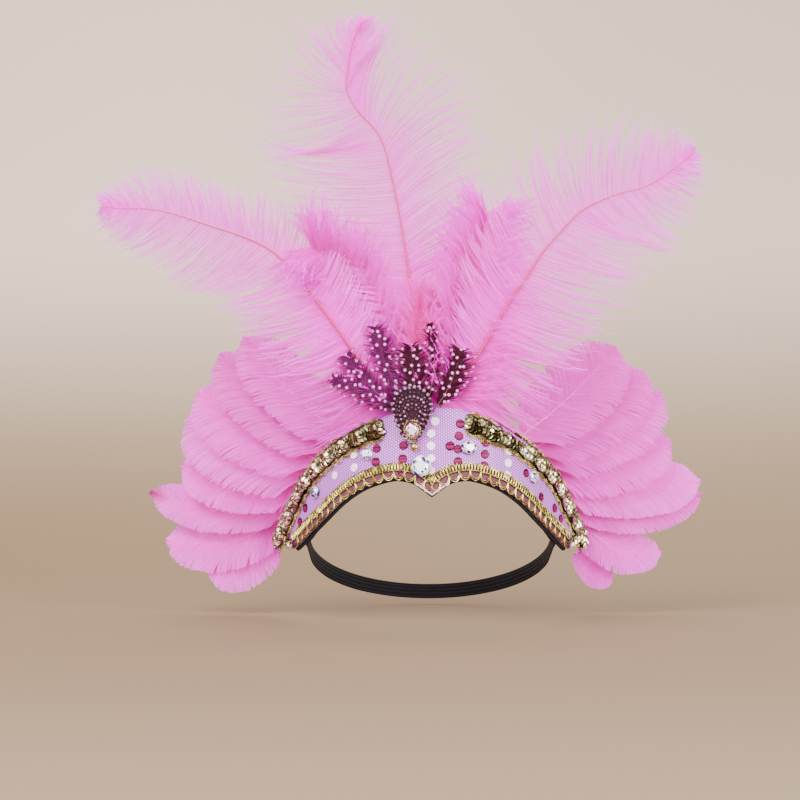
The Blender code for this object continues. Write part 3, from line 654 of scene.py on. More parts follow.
    # each barb as a flat ribbon
    ribbon = w.labelled(w.line((0, -0.5, 0), (0, 0.5, 0)), "across", number)
    taper = w.blend(t ** 1.3, 1.0, given["End width"]) * w.random(0.7, 1.2, index, seed + 17.0)
    wide = given["Barb width"] * w.ramp(base, 0.1, 0.5, given["Root fullness"], 1.0) * taper
    ribbons = w.get("GeometryNodeCurveToMesh", barbs, ribbon, wide)
    keptX, keptY, _ = w.parts(w.namedVector("barbUv"))
    ribbons = w.baked(ribbons, w.named("across") * 0.004 + keptX, keptY + 0.002)

    # barbules as slips of one triangle each
    dots = w.node("GeometryNodeCurveToPoints", barbs, given["Barbules"], mode="COUNT")
    points, tangent = (Value(w, dots.outputs[k]) for k in ("Points", "Tangent"))
    slip = w.get("GeometryNodeMeshCircle", 3, 1.0, fill_type="NGON")
    slip = w.get("GeometryNodeTransform", slip, (0.3333, 0, 0), (0, 0, 0), (0.6667, 0.5774, 1))
    slip = w.labelled(slip, "bladeUv", position, "FLOAT_VECTOR")
    spread = (number % 2.0 * 2.0 - 1.0) * w.random(0.55, 1.15, number, seed)
    aside = w.scaled(w.vector("CROSS_PRODUCT", outward, tangent), spread)
    above = w.scaled(outward, w.random(-0.6, 0.6, number, seed + 2.0))
    heading = w.vector("ADD", tangent, w.vector("ADD", aside, above))
    turned = w.get("FunctionNodeAxesToRotation", heading, outward, primary_axis="X", secondary_axis="Z")
    slipLong = given["Barbule length"] * w.random(0.5, 1.15, number, seed + 4.0) * w.blend(keptY ** 2.0, 1.0, 0.35)
    size = w.point(slipLong, given["Barbule width"], 1.0)
    slips = w.realized(w.get("GeometryNodeInstanceOnPoints", points, None, slip, None, None, turned, size))
    bladeX, bladeY, _ = w.parts(w.namedVector("bladeUv"))
    slips = w.baked(slips, keptX + bladeX * 0.006, keptY + (bladeY + 0.9) * 0.01)
    soft = w.finished(w.joined(ribbons, slips), given["Barb finish"])

    # the shaft, a tapering rod along the vane's middle
    radius = given["Shaft radius"] * w.blend(t ** 0.8, 1.0, 0.16)
    spot, facing = onVane(t * 0.998 + 0.001, 0.0004)
    rodPlace = w.vector("ADD", spot, w.scaled(facing, radius * given["Shaft lift"]))
    rod = w.get("GeometryNodeSetPosition", w.resampled(w.line((0, 0, 0), (1, 0, 0)), 64), None, rodPlace)
    rod = w.tube(w.labelled(rod, "barbUv", w.point(t * 0.98, 0.0), "FLOAT_VECTOR"), 7, radius)
    rod = w.finished(w.baked(rod, keptX + 0.005, w.named("across") * 0.13 + 0.02), given["Shaft finish"])
    w.node("NodeGroupOutput", w.get("GeometryNodeSetShadeSmooth", w.realized(w.joined(soft, rod))))
    return tree


barbTree = makeBarbTree()


def camel(node):
    first, *rest = node.split("_")
    return first + "".join(part.title() for part in rest)


class Shaft:
    # a feather's shaft as a smooth curve through its rows, walked by its own length
    def __init__(self, points, roll=0.0):
        self.roll = roll
        keyed = [(i, *p) for i, p in enumerate(points)]
        fine = 24 * (len(points) - 1)
        self.line = [Vector(interpolate(keyed, (len(points) - 1) * i / fine)) for i in range(fine + 1)]
        self.run = [0.0]
        for a, b in zip(self.line, self.line[1:]):
            self.run.append(self.run[-1] + (b - a).length)
        self.length = self.run[-1]

    def point(self, share):
        target = min(max(share, 0.0), 1.0) * self.length
        i = 0
        while i < len(self.run) - 2 and self.run[i + 1] < target:
            i += 1
        part = (target - self.run[i]) / max(self.run[i + 1] - self.run[i], 1e-9)
        return self.line[i].lerp(self.line[i + 1], part)

    def frame(self, share):
        along = (self.point(share + 0.01) - self.point(share - 0.01)).normalized()
        side = Matrix.Rotation(self.roll, 3, along) @ toFront.cross(along).normalized()
        return self.point(share), along, side, along.cross(side).normalized()


def vaneMesh(name, rowOf, steps, columns):
    # both sides of a vane as sheets: rowOf(side, share) gives a function of how far out along the barb
    points, uvs, faces = [], [], []
    for side in (0, 1):
        for i in range(steps + 1):
            share = i / steps
            place = rowOf(side, share)
            for j in range(columns + 1):
                points.append(place(1.165 * j / columns) * mm)
                uvs.append((side * 2 + share, 1.002 * j / columns))
        for i in range(steps):
            for j in range(columns):
                a = side * (steps + 1) * (columns + 1) + i * (columns + 1) + j
                quad = (a, a + columns + 1, a + columns + 2, a + 1)
                faces.append(quad if side else quad[::-1])
    return meshOf(name, points, faces, uvs, None, "vane")


def barbReach(frameAt, sign, length, startAngle, endAngle, back):
    point, along, side, front = frameAt
    bend = endAngle - startAngle

    def place(t):
        if abs(bend) < 1e-3:
            forward, out = math.cos(startAngle) * t, math.sin(startAngle) * t
        else:
            forward = (math.sin(startAngle + bend * t) - math.sin(startAngle)) / bend
            out = (math.cos(startAngle) - math.cos(startAngle + bend * t)) / bend
        return point + (along * forward + side * sign * out) * length - front * back * t * t
    return place


plumes = {
    "plume_left": {
        "seat": (-24, 38, -29, 50), "back": 7.0,
        "shaft": [
            (-49.6, 85, -77), (-69.7, 112.5, -75), (-83.9, 131.4, -70), (-105.4, 149.4, -61),
            (-140.9, 162.4, -50), (-170.5, 171.1, -43), (-194.2, 172, -39), (-204, 173.5, -37),
        ],
        "barbs": [
            (0.02, 56, 88, 96, 24, 80, 60), (0.1, 60, 92, 82, 28, 80, 55), (0.25, 62, 84, 62, 34, 75, 50),
            (0.45, 64, 77, 50, 42, 70, 45),
            (0.65, 61, 70, 40, 42, 65, 42), (0.82, 46, 62, 35, 40, 62, 40), (0.93, 28, 52, 34, 28, 52, 36),
            (1.0, 8, 40, 26, 8, 42, 28),
        ],
    },
    "plume_centre": {
        "seat": (-8.5, 36, -8.9, 51.5), "back": 5.0,
        "shaft": [
            (-11.2, 102, -66), (-18, 156, -65), (-27.4, 202, -67), (-33.9, 219, -69),
            (-46.6, 233, -72), (-53.1, 245.8, -74), (-52.1, 258.5, -76), (-49, 275, -78), (-43.5, 287, -80),
        ],
        "barbs": [
            (0.12, 34, 70, 55, 34, 70, 60), (0.3, 56, 82, 66, 54, 66, 82), (0.5, 80, 86, 66, 78, 55, 92),
            (0.66, 88, 84, 52, 86, 48, 100), (0.78, 78, 76, 46, 78, 42, 92), (0.87, 52, 62, 34, 44, 34, 40),
            (0.94, 26, 44, 26, 27, 30, 30), (1.0, 8, 26, 10, 9, 28, 12),
        ],
    },
    "plume_right": {
        "seat": (5.5, 38, 9, 51.5), "back": 0.0,
        "shaft": [
            (30.3, 83.7, -75), (46.5, 111.6, -79), (59.4, 130.5, -80), (69.4, 145.7, -80),
            (80.6, 158.3, -79), (93.6, 171.1, -77), (113.8, 180.4, -73), (136.4, 187.4, -69),
            (161.8, 205.8, -66),
        ],
        "barbs": [
            (0.02, 24, 80, 60, 62, 92, 100), (0.12, 28, 76, 60, 66, 96, 84), (0.32, 46, 74, 56, 70, 86, 66),
            (0.48, 68, 72, 52, 76, 79, 58),
            (0.66, 66, 74, 40, 70, 72, 50), (0.82, 54, 74, 40, 52, 66, 44), (0.93, 29, 56, 36, 24, 54, 40),
            (1.0, 6, 38, 30, 6, 40, 32),
        ],
    },
    "down_left": {
        "seat": (-15.5, 41, -19, 51), "back": 3.0,
        "shaft": [(-33, 86, -60), (-44, 114, -57), (-56, 136, -61), (-74, 147, -71)],
        "barbs": [
            (0.1, 34, 75, 60, 30, 70, 50), (0.35, 50, 58, 67, 42, 50, 34), (0.6, 54, 52, 80, 50, 50, 36),
            (0.85, 48, 48, 84, 48, 48, 46), (1.0, 38, 40, 76, 40, 44, 58),
        ],
    },
    "down_centre": {
        "seat": (-2, 41, -3.5, 51.5), "back": 0.0,
        "shaft": [(-6.6, 76, -73.2), (-9, 98, -74), (-7, 116, -75)],
        "barbs": [
            (0.2, 12, 55, 36, 12, 55, 36), (0.45, 24, 48, 34, 26, 50, 36), (0.75, 26, 42, 28, 28, 44, 30),
            (1.0, 17, 24, 12, 18, 26, 14),
        ],
    },
    "down_right": {
        "seat": (13, 41, 15.5, 51), "back": 0.0,
        "shaft": [(19, 90, -64), (26, 122, -63), (30, 150, -64), (34, 168, -67)],
        "barbs": [
            (0.1, 28, 70, 55, 54, 90, 80), (0.35, 46, 55, 50, 50, 62, 78), (0.65, 50, 50, 58, 54, 54, 88),
            (1.0, 30, 40, 54, 34, 44, 72),
        ],
    },
}
# how each kind of soft feather is grown, in the tree's own inputs
growth = {
    "plume": {
        "Barbs a side": 440, "Points a barb": 10, "Barb width": 0.0004, "End width": 0.34, "Locks": 19.0,
        "Crowding": 1.25, "Root fullness": 3.6, "Draw together": 0.6, "Draw from": 0.4, "Uneven length": 0.3,
        "Stray": 0.0036, "Ruffle": 0.003, "Lock stand": 0.0022, "Barbules": 70, "Barbule length": 0.0028,
        "Barbule width": 0.00022, "Shaft radius": 0.0013, "Shaft lift": -1.9,
    },
    "down": {
        "Barbs a side": 230, "Points a barb": 9, "Barb width": 0.00054, "End width": 0.4, "Locks": 8.0,
        "Crowding": 0.9, "Root fullness": 1.4, "Draw together": 0.3, "Draw from": 0.3, "Uneven length": 0.4,
        "Stray": 0.009, "Ruffle": 0.0095, "Lock stand": 0.003, "Barbules": 76, "Barbule length": 0.0038,
        "Barbule width": 0.0003, "Shaft radius": 0.0003,
    },
    "down_centre": {"Barbs a side": 45, "Barbules": 80, "Locks": 5.0},
    # down stands all round its quill, so it is grown on two vanes turned either way
    "rolls": {"plume": (0.0,), "down": (-32.0, 32.0)},
    "rootBack": 24, "steps": 70, "columns": 18,
}


def makePlume(node, finish, shaftFinish, seed):
    kind, row = node.split("_")[0], plumes[node]
    seats = [quillSeat(*row["seat"][:2]), quillSeat(*row["seat"][2:])]
    first, meshes = row["barbs"][0][0], []
    for layer, roll in enumerate(growth["rolls"][kind]):
        shaft = Shaft(seats + [seenFromFront(*p) for p in row["shaft"]], math.radians(roll))

        def rowOf(side, share):
            found = interpolate(row["barbs"], max(share, first))
            length, start, end = found[3:] if side else found[:3]
            # the lowest barbs of a plume go back behind the crown
            back = row["back"] + (growth["rootBack"] * smoothStep(0.3, 0.05, share) if kind == "plume" else 0)
            sign = -1 if side else 1
            return barbReach(shaft.frame(share), sign, length, math.radians(start), math.radians(end), back)

        values = {**growth[kind], **growth.get(node, {}), "Bare quill": first, "Seed": seed + 30 * layer}
        values.update({"Barb finish": finish, "Shaft finish": shaftFinish})
        meshes.append(runTree(barbTree, vaneMesh(node, rowOf, growth["steps"], growth["columns"]), values))
    finishPiece(camel(node), meshes, [node], "ostrich_pink" if kind == "plume" else "down_pink")


gooseRows = {
    # along, height, angle, length, width, bow, lean, roll, shade
    "goose_left": [
        (-62, 23, 135, 95, 44, 3, 24, 14, 1), (-73, 17, 140, 98, 48, 4, 22, 14, 0),
        (-84, 11, 151, 94, 50, 4, 20, 14, 1),
        (-95, 4, 157, 88, 56, 4, 18, 14, 2), (-105, -4, 170, 78, 44, 3, 16, 14, 1),
        (-117, -16, 175, 92, 30, 8, 14, 14, 3),
        (-127, -26, 189, 76, 38, 8, 13, 14, 2), (-134, -31, 212, 50, 36, 5, 12, 14, 2),
    ],
    "goose_right": [
        (62, 23, 43, 89, 54, -3, 24, -14, 0), (73, 17, 34, 93, 50, -4, 22, -14, 0),
        (84, 11, 29, 92, 50, -4, 20, -14, 1),
        (95, 4, 15, 81, 44, -4, 18, -14, 1), (106, -5, 3, 92, 38, -3, 16, -14, 2),
        (117, -16, 4, 86, 30, -7, 14, -14, 1),
        (127, -26, -20, 56, 30, -7, 13, -14, 2), (135, -32.5, -56, 34, 22, -5, 26, -14, 2),
    ],
}
gooseForm = {
    "seatRun": 16.0, "tipForward": 3.0, "cup": 2.6, "wave": 1.1, "softCount": 4,
    "shares": [0, 0.1, 0.2, 0.32, 0.48, 0.68, 0.88, 1.0],
    "widths": [0.6, 0.72, 0.84, 0.93, 1.0, 0.98, 0.66, 0.06],
    "growth": {
        "Barbs a side": 190, "Points a barb": 8, "Barb width": 0.0015, "End width": 0.85, "Locks": 3.0, "Crowding": 1.0,
        "Draw together": 0.02, "Draw from": 0.6, "Uneven length": 0.03, "Stray": 0.0003, "Ruffle": 0.001,
        "Lock stand": 0.0005, "Barbules": 12, "Barbule length": 0.0009, "Barbule width": 0.0003,
        "Shaft radius": 0.00055, "Bare quill": 0.05,
    },
    # the upper ones end in a soft fringe, the lower ones in splits and points
    "soft": {"End width": 0.5, "Uneven length": 0.11, "Stray": 0.001, "Ruffle": 0.0014},
    "ragged": {"Locks": 6.0, "Draw together": 0.22, "Draw from": 0.6, "Uneven length": 0.05, "Ruffle": 0.0011},
}


def bladePlace(shaft, shares, widths, width, cup, wave, seed):
    # a firm vane: a barb leaves the shaft at one share and ends on the outline a little further up
    table = list(zip(shares, widths))

    def rowOf(side, share):
        sign = -1 if side else 1
        start = shaft.frame(share)
        q = min(1.0, share + 0.14 * (1 - share) + 0.03)
        point, along, across, front = shaft.frame(q)
        half = max(interpolate(table, q)[0], 0.02) * width / 2
        end = point + across * sign * half + along * half * 0.35
        bulge = start[1] * (end - start[0]).length * 0.10

        def place(t):
            flat = start[0].lerp(end, t) + bulge * 4 * t * max(0.0, 1 - t)
            ripple = wave * math.sin(share * 17 + seed * 2.1 + sign) * t * t
            return flat - front * (cup * (half / width * 2) ** 2 * t * t - ripple)
        return place
    return rowOf


def headingOf(angle, lean):
    # a feather's way in the plane of the front, its way leaned back, and the way across it
    turn, back = math.radians(angle), math.radians(lean)
    flat = Vector((math.cos(turn), 0, math.sin(turn)))
    return flat, flat * math.cos(back) - toFront * math.sin(back), toFront.cross(flat)


def growBlade(name, shaft, form, width, wave, seed, values, steps, columns):
    rowOf = bladePlace(shaft, form["shares"], form["widths"], width, form["cup"], wave, seed)
    return runTree(barbTree, vaneMesh(name, rowOf, steps, columns), {**form["growth"], **values})


def makeGoose(finishes, shaftFinish):
    for group, rows in gooseRows.items():
        for i, (along, height, angle, length, width, bow, lean, roll, shade) in enumerate(rows):
            flat, heading, sideways = headingOf(angle, lean)
            around = (quillSeat(along + 1, height) - quillSeat(along - 1, height)).normalized()
            held = Vector((flat.x / around.x, flat.z)).normalized() * gooseForm["seatRun"]
            leaves = quillSeat(along + held.x, height + held.y)
            points = [quillSeat(along, height), quillSeat(along + held.x / 2, height + held.y / 2), leaves]
            for t in (0.25, 0.5, 0.75, 1.0):
                bent = sideways * bow * math.sin(math.pi * t) + toFront * gooseForm["tipForward"] * t * t
                points.append(leaves + heading * length * t + bent)
            seed = i + (20 if along > 0 else 1)
            values = {"Seed": seed, "Barb finish": finishes[shade], "Shaft finish": shaftFinish}
            values["Barb width"] = gooseForm["growth"]["Barb width"] * max(0.6, length / 90)
            values.update(gooseForm["soft" if i < gooseForm["softCount"] else "ragged"])
            node = f"{group}_{i + 1}"
            shaft = Shaft(points, math.radians(roll))
            mesh = growBlade(node, shaft, gooseForm, width, gooseForm["wave"], seed, values, 60, 14)
            finishPiece(camel(node), [mesh], [node], "goose_pink")


guineaRows = [
    # name, along, height, layer, angle, length, width, bow, lean back
    ("guinea_left_low", -22, 43, 0, 150, 48, 21, -2, -6), ("guinea_left", -19, 46, 1, 136, 50, 26, 3, -4),
    ("guinea_tall", -14.5, 47, 0, 113, 56, 27, 3, -4), ("guinea_middle", -9.5, 47, 2, 96, 40, 34, 0, -5),
    ("guinea_dark", -4.5, 47, 0, 87, 54, 15, -4, -7), ("guinea_right", 0.5, 46, 1, 66, 42, 32, -3, -5),
]
guineaForm = {
    "layer": 1.5, "lift": 0.8, "cup": 1.0, "wave": 0.5,
    "shares": [0, 0.1, 0.22, 0.36, 0.6, 0.86, 1.0], "widths": [0, 0.35, 0.75, 0.95, 1.0, 0.95, 0.55],
    "growth": {
        "Barbs a side": 100, "Points a barb": 8, "Barb width": 0.00085, "End width": 0.2, "Locks": 9.0, "Crowding": 1.0,
        "Draw together": 0.35, "Draw from": 0.5, "Uneven length": 0.6, "Stray": 0.0018, "Ruffle": 0.0022,
        "Lock stand": 0.0006, "Barbules": 12, "Barbule length": 0.0009, "Barbule width": 0.00025,
        "Shaft radius": 0.0005, "Bare quill": 0.12,
    },
}


def makeGuinea(finishes, shaftFinish):
    for i, (node, along, height, layer, angle, length, width, bow, lean) in enumerate(guineaRows):
        _, heading, sideways = headingOf(angle, lean)
        points = [crownPoint(along, height, guineaForm["lift"])]
        layered = crownPoint(along, height, guineaForm["lift"] + layer * guineaForm["layer"])
        for t in (0.3, 0.65, 1.0):
            points.append(layered + heading * length * t + sideways * bow * math.sin(math.pi * t))
        values = {"Seed": 40 + i, "Barb finish": finishes[i], "Shaft finish": shaftFinish}
        mesh = growBlade(node, Shaft(points), guineaForm, width, guineaForm["wave"], i, values, 40, 10)
        finishPiece(camel(node), [mesh], [node], "guinea_spotted")


# things stamped along a row or over a surface: sequins, cups and beads

def makeStampTree():
    # each place carries outward and inward; every stamp gets a tone of its own in the UV map's x
    tree, w, given = newTree(
        "stampsOnPlaces", "GeometryNodeTree",
        {
            "Places": "geometry", "Size": 0.001, "Uneven size": 0.0, "Tilt": 0.0, "Wobble": 0.1, "Seed": 0,
            "Finish": "material", "Stamp": "object",
        },
        {"Stamps": "geometry"},
    )
    index, seed, wobble = w.get("GeometryNodeInputIndex"), given["Seed"], given["Wobble"]
    info = w.node("GeometryNodeObjectInfo", None, False)
    w.put(info.inputs["Object"], given["Stamp"])
    outward, inward = w.namedVector("outward"), w.namedVector("inward")
    shake = [w.random(-1.0, 1.0, index, seed + k) for k in (1.0, 2.0)]
    ahead = w.scaled(w.vector("CROSS_PRODUCT", outward, inward), given["Tilt"] + shake[0] * wobble)
    facing = w.vector("ADD", outward, w.vector("ADD", ahead, w.scaled(inward, shake[1] * wobble)))
    turned = w.get("FunctionNodeAxesToRotation", facing, inward, primary_axis="Z", secondary_axis="X")
    grown = given["Size"] * (1.0 + w.random(-1.0, 1.0, index, seed + 3.0) * given["Uneven size"])
    places = w.labelled(given["Places"], "across", w.random(0.0, 0.9, index, seed + 4.0))
    stamp = Value(w, info.outputs["Geometry"])
    size = w.point(grown, grown, grown)
    stamps = w.realized(w.get("GeometryNodeInstanceOnPoints", places, None, stamp, None, None, turned, size))
    ownX, ownY, _ = w.parts(w.namedVector("OFBake"))
    w.node("NodeGroupOutput", w.finished(w.baked(stamps, w.named("across") + ownX * 0.09, ownY), given["Finish"]))
    return tree


def makeWireTree():
    # a wire that loops round and round along a path; with equal rise and out, and no swing, it is a twisted cord
    tree, w, given = newTree(
        "loopingWire", "GeometryNodeTree",
        {
            "Path": "geometry", "Loops": 30, "Points a loop": 14, "Swing": 0.001, "Rise": 0.002, "Out": 0.0,
            "Shift": 0.0, "Wire radius": 0.0003, "Sides": 5, "Finish": "material",
        },
        {"Wire": "geometry"},
    )
    path = w.get("GeometryNodeMeshToCurve", given["Path"])
    path = w.resampled(path, given["Loops"] * given["Points a loop"])
    far = w.out("Factor", "GeometryNodeSplineParameter")
    turn = far * given["Loops"] * math.tau + given["Shift"]
    sine, cosine = w.sum("SINE", turn), w.sum("COSINE", turn)
    swing = w.scaled(w.get("GeometryNodeInputTangent"), sine * given["Swing"])
    move = w.vector("ADD", swing, w.scaled(w.namedVector("inward"), cosine * given["Rise"]))
    move = w.vector("ADD", move, w.scaled(w.namedVector("outward"), sine * given["Out"]))
    path = w.labelled(path, "barbUv", w.point(far, 0.0), "FLOAT_VECTOR")
    wire = w.tube(w.get("GeometryNodeSetPosition", path, None, None, move), given["Sides"], given["Wire radius"])
    wire = w.baked(wire, w.parts(w.namedVector("barbUv"))[0] * 0.99, w.named("across") * 0.15 + 0.05)
    wire = w.get("GeometryNodeSetShadeSmooth", w.realized(wire))
    w.node("NodeGroupOutput", w.finished(wire, given["Finish"]))
    return tree


stampTree, wireTree = makeStampTree(), makeWireTree()


def placesMesh(rows):
    # points with the way out of the cloth and the way in from the edge at each, joined in a line
    mesh = bpy.data.meshes.new("places")
    mesh.from_pydata([row[0] * mm for row in rows], [(i, i + 1) for i in range(len(rows) - 1)], [])
    for label, k in (("outward", 1), ("inward", 2)):
        layer = mesh.attributes.new(label, "FLOAT_VECTOR", "POINT")
        layer.data.foreach_set("vector", [c for row in rows for c in row[k]])
    return mesh


def stamped(rows, stamp, radius, finish, seed, unevenSize, wobble, tilt=0.0):
    return runTree(stampTree, placesMesh(rows), {
        "Stamp": stamp, "Size": radius * mm, "Uneven size": unevenSize, "Tilt": tilt, "Wobble": wobble,
        "Seed": seed, "Finish": finish,
    })


def wired(rows, loops, pointsALoop, radius, finish, rise, out, swing=0.0, sides=5, shift=0.0):
    return runTree(wireTree, placesMesh(rows), {
        "Loops": loops, "Points a loop": pointsALoop, "Swing": swing * mm, "Rise": rise * mm, "Out": out * mm,
        "Shift": shift, "Wire radius": radius * mm, "Sides": sides, "Finish": finish,
    })


def edgeShares(edge, start, end, count):
    # shares at equal steps of length along an edge of the flat crescent
    fine = [start + (end - start) * i / 900 for i in range(901)]
    spots = [edgeAt(edge, s) for s in fine]
    run = [0.0]
    for a, b in zip(spots, spots[1:]):
        run.append(run[-1] + (b - a).length)
    found, j = [], 0
    for i in range(count + 1):
        while j < 900 and run[j] < run[-1] * i / count:
            j += 1
        found.append(fine[j])
    return found, run[-1]


def edgeRow(edge, start, end, count, insetOf, lift, step=0.02):
    # places that follow an edge of the crown, insetOf(run in millimetres) in from it
    shares, total = edgeShares(edge, start, end, count)
    rows = []
    for i, share in enumerate(shares):
        point, inward = edgeFrame(edge, share, step)
        flat = point + inward * insetOf(total * i / count)
        here = onCrown(flat, lift)
        rows.append((here, crownNormal(flat.x, flat.y), (onCrown(flat + inward, lift) - here).normalized()))
    return rows, total


def edgeSheet(name, edge, start, end, step, insetAndLift, columns, rows, finish, flip=False):
    # a tape along an edge of the crown, by how far in and how far off the cloth each place lies
    def place(u, v):
        point, inward = edgeFrame(edge, start + (end - start) * u, step)
        inset, lift = insetAndLift(u, v)
        return onCrown(point + inward * inset, lift)
    return gridMesh(name, place, columns, rows, finish, None, flip)


def ringStamp(name, rings, sides, closed):
    # a round stamp of radius 1 through (radius, height) rings, from the rim inwards
    points, uvs, faces = [], [], []
    for radius, height in rings:
        for k in range(sides):
            a = math.tau * k / sides
            points.append((radius * math.cos(a), radius * math.sin(a), height))
            uvs.append((0.5 + 0.5 * radius * math.cos(a), 0.04 + 0.9 * radius + 0.02 * math.sin(a)))
    for r in range(len(rings) - 1):
        for k in range(sides):
            n = (k + 1) % sides
            faces.append((r * sides + k, r * sides + n, (r + 1) * sides + n, (r + 1) * sides + k))
    if closed:
        last = (len(rings) - 1) * sides
        faces += [tuple(range(sides))[::-1], tuple(range(last, last + sides))]
    made = placed(name, meshOf(name, points, faces, uvs, smooth=False))
    made.hide_render = True
    stamps.append(made)
    return made


stamps = []
crownLook = {
    "columns": 230, "rows": 20, "sequinRadius": 2.85,
    "wine": [
        (-100.3, -16.0), (-91.9, -1.0), (-37.3, 30.8), (-37, 14.6), (-36.8, 23.0), (-19.0, 8.9), (-18.8, 16.7),
        (-18.6, 25.0),
        (11.8, 24.7), (16.7, 15.0), (17.0, 22.8), (18.0, 30.9), (34.2, 12.2), (35.3, 19.4), (36.2, 26.9), (67.7, 7.2),
        (82.1, -8.3), (97.9, -15.9), (-18.4, 33.3), (-36, 38.6), (-106, -25), (105, -23), (19, 38.5), (-86, 8), (86, 7),
    ],
    "pale": [
        (-70.4, 14.1), (-69.3, 5.6), (-53.9, 19.0), (-52.9, 10.9), (-0.6, 17.0), (-0.6, 24.7), (50.9, 6.2),
        (52.3, 13.7),
        (53.2, 21.3), (-0.6, 32.4), (-54.4, 26.6), (54.4, 29), (-71, 22), (69, 20), (2, 40), (-1, 9.6),
    ],
}


def makeCrown(cloth, wine, pale):
    def flatAt(u, v):
        low, high = crescent((2 * u - 1) * 0.985, 0), crescent((2 * u - 1) * 0.985, 1)
        inset = (high - low).normalized() * crownForm["inset"]
        return (low + inset).lerp(high - inset, v)

    def uvOf(u, v):
        flat = flatAt(u, v)
        return (flat.x + 145) / 290, (flat.y + 50) / 110

    columns, rows = crownLook["columns"], crownLook["rows"]
    mesh = gridMesh("crown", lambda u, v: onCrown(flatAt(u, v)), columns, rows, cloth, uvOf)
    finishPiece("crownCloth", [thickened(mesh, crownForm["wall"])], ["crown"], "sequin_cloth")
    disc = ringStamp("sequin", [(1.0, 0.0), (1.0, 0.07), (0.88, 0.13), (0.04, 0.1)], 20, False)
    for name, colour, finish, seed in (("wineSequins", "wine", wine, 3), ("paleSequins", "pale", pale, 9)):
        rows = []
        for along, height in crownLook[colour]:
            normal = crownNormal(along, height)
            rows.append((crownPoint(along, height) + normal * 0.12, normal, upward))
        mesh = stamped(rows, disc, crownLook["sequinRadius"], finish, seed, 0.03, 0.05)
        finishPiece(name, [mesh], [], "sequin_cloth")


def makeLining(felt):
    def place(u, v):
        flat = crescent((2 * u - 1) * 0.975, v)
        flat = flat - Vector((0, (1 - v) ** 4 * 1.0)) - Vector((0, 2.0)) * smoothStep(0.66, 1.0, v)
        return crownPoint(flat.x, flat.y, -liningDepth(v))

    mesh = thickened(gridMesh("lining", place, 190, 14, felt), 1.5)
    finishPiece("feltLining", [mesh], ["lining"], "black_felt")


gimp = {
    "reach": 0.965, "backInset": 4.8, "backWide": 5.6, "backLift": 0.42, "backWall": 0.12,
    "wires": [
        # inset, lift, pitch, radius, swing, rise, out, sides, points a loop: uprights, cord and two rows of scallops
        (8.1, 0.95, 2.0, 0.34, 0.3, 2.45, 0.3, 5, 12), (5.8, 0.95, 1.15, 0.24, 0, 0.3, 0.3, 5, 8),
        (2.7, 0.85, 6.7, 0.38, -1.5, 2.95, 0.15, 6, 28), (3.3, 1.05, 6.7, 0.27, -1.1, 2.2, 0.15, 6, 28),
    ],
}


def makeGimp(gold, ribbonCloth):
    reach, meshes = gimp["reach"], []
    for inset, lift, pitch, radius, swing, rise, out, sides, points in gimp["wires"]:
        rows, total = edgeRow("lower", -reach, reach, 420, lambda run: inset, lift, 0.03)
        meshes.append(wired(rows, round(total / pitch), points, radius, gold, rise, out, swing, sides))

    def insetAndLift(u, v):
        return gimp["backInset"] + v * gimp["backWide"], gimp["backLift"]

    back = edgeSheet("gimpBack", "lower", -reach, reach, 0.03, insetAndLift, 260, 3, ribbonCloth)
    finishPiece("gimpBraid", meshes + [thickened(back, gimp["backWall"])], ["gimp_braid"], "gold_braid")


def makePiping(piping, paleCord):
    # wine satin under the open loops, turned round the lower edge, with a pale cord at the dip
    def insetAndLift(u, v):
        turn = v * math.pi
        inset = 1.2 + 4.4 * max(0.0, math.cos(turn)) - 0.75 * math.sin(turn)
        return inset, 0.22 - (2.3 * (v - 0.5) * 2 if v > 0.5 else 0.0)

    sheet = edgeSheet("piping", "lower", -0.972, 0.972, 0.03, insetAndLift, 260, 8, piping)
    rows, _ = edgeRow("lower", -0.09, 0.09, 90, lambda run: 0.5, 0.75, 0.012)
    finishPiece("winePiping", [sheet, wired(rows, 20, 6, 0.55, paleCord, 0.1, 0.1, sides=6)], [], "sequin_cloth")


trim = {
    "width": 15.0, "pitch": 15.0, "lift": 1.0, "reach": 0.985, "left": 0.26, "right": 0.19, "turnIn": 3.0,
    "turnRun": 30,
    "scallop": 1.6, "scallopPitch": 8.5, "cordAside": 5.4, "cordLift": 0.95, "cordTwist": 1.25,
    # how far out beside the first cord, and radius
    "cords": [(0.0, 0.5), (1.0, 0.36)], "laceShare": 0.82, "laceLift": 0.42, "laceWall": 0.12,
    "tailCount": 13, "tailRadius": 2.9,
}


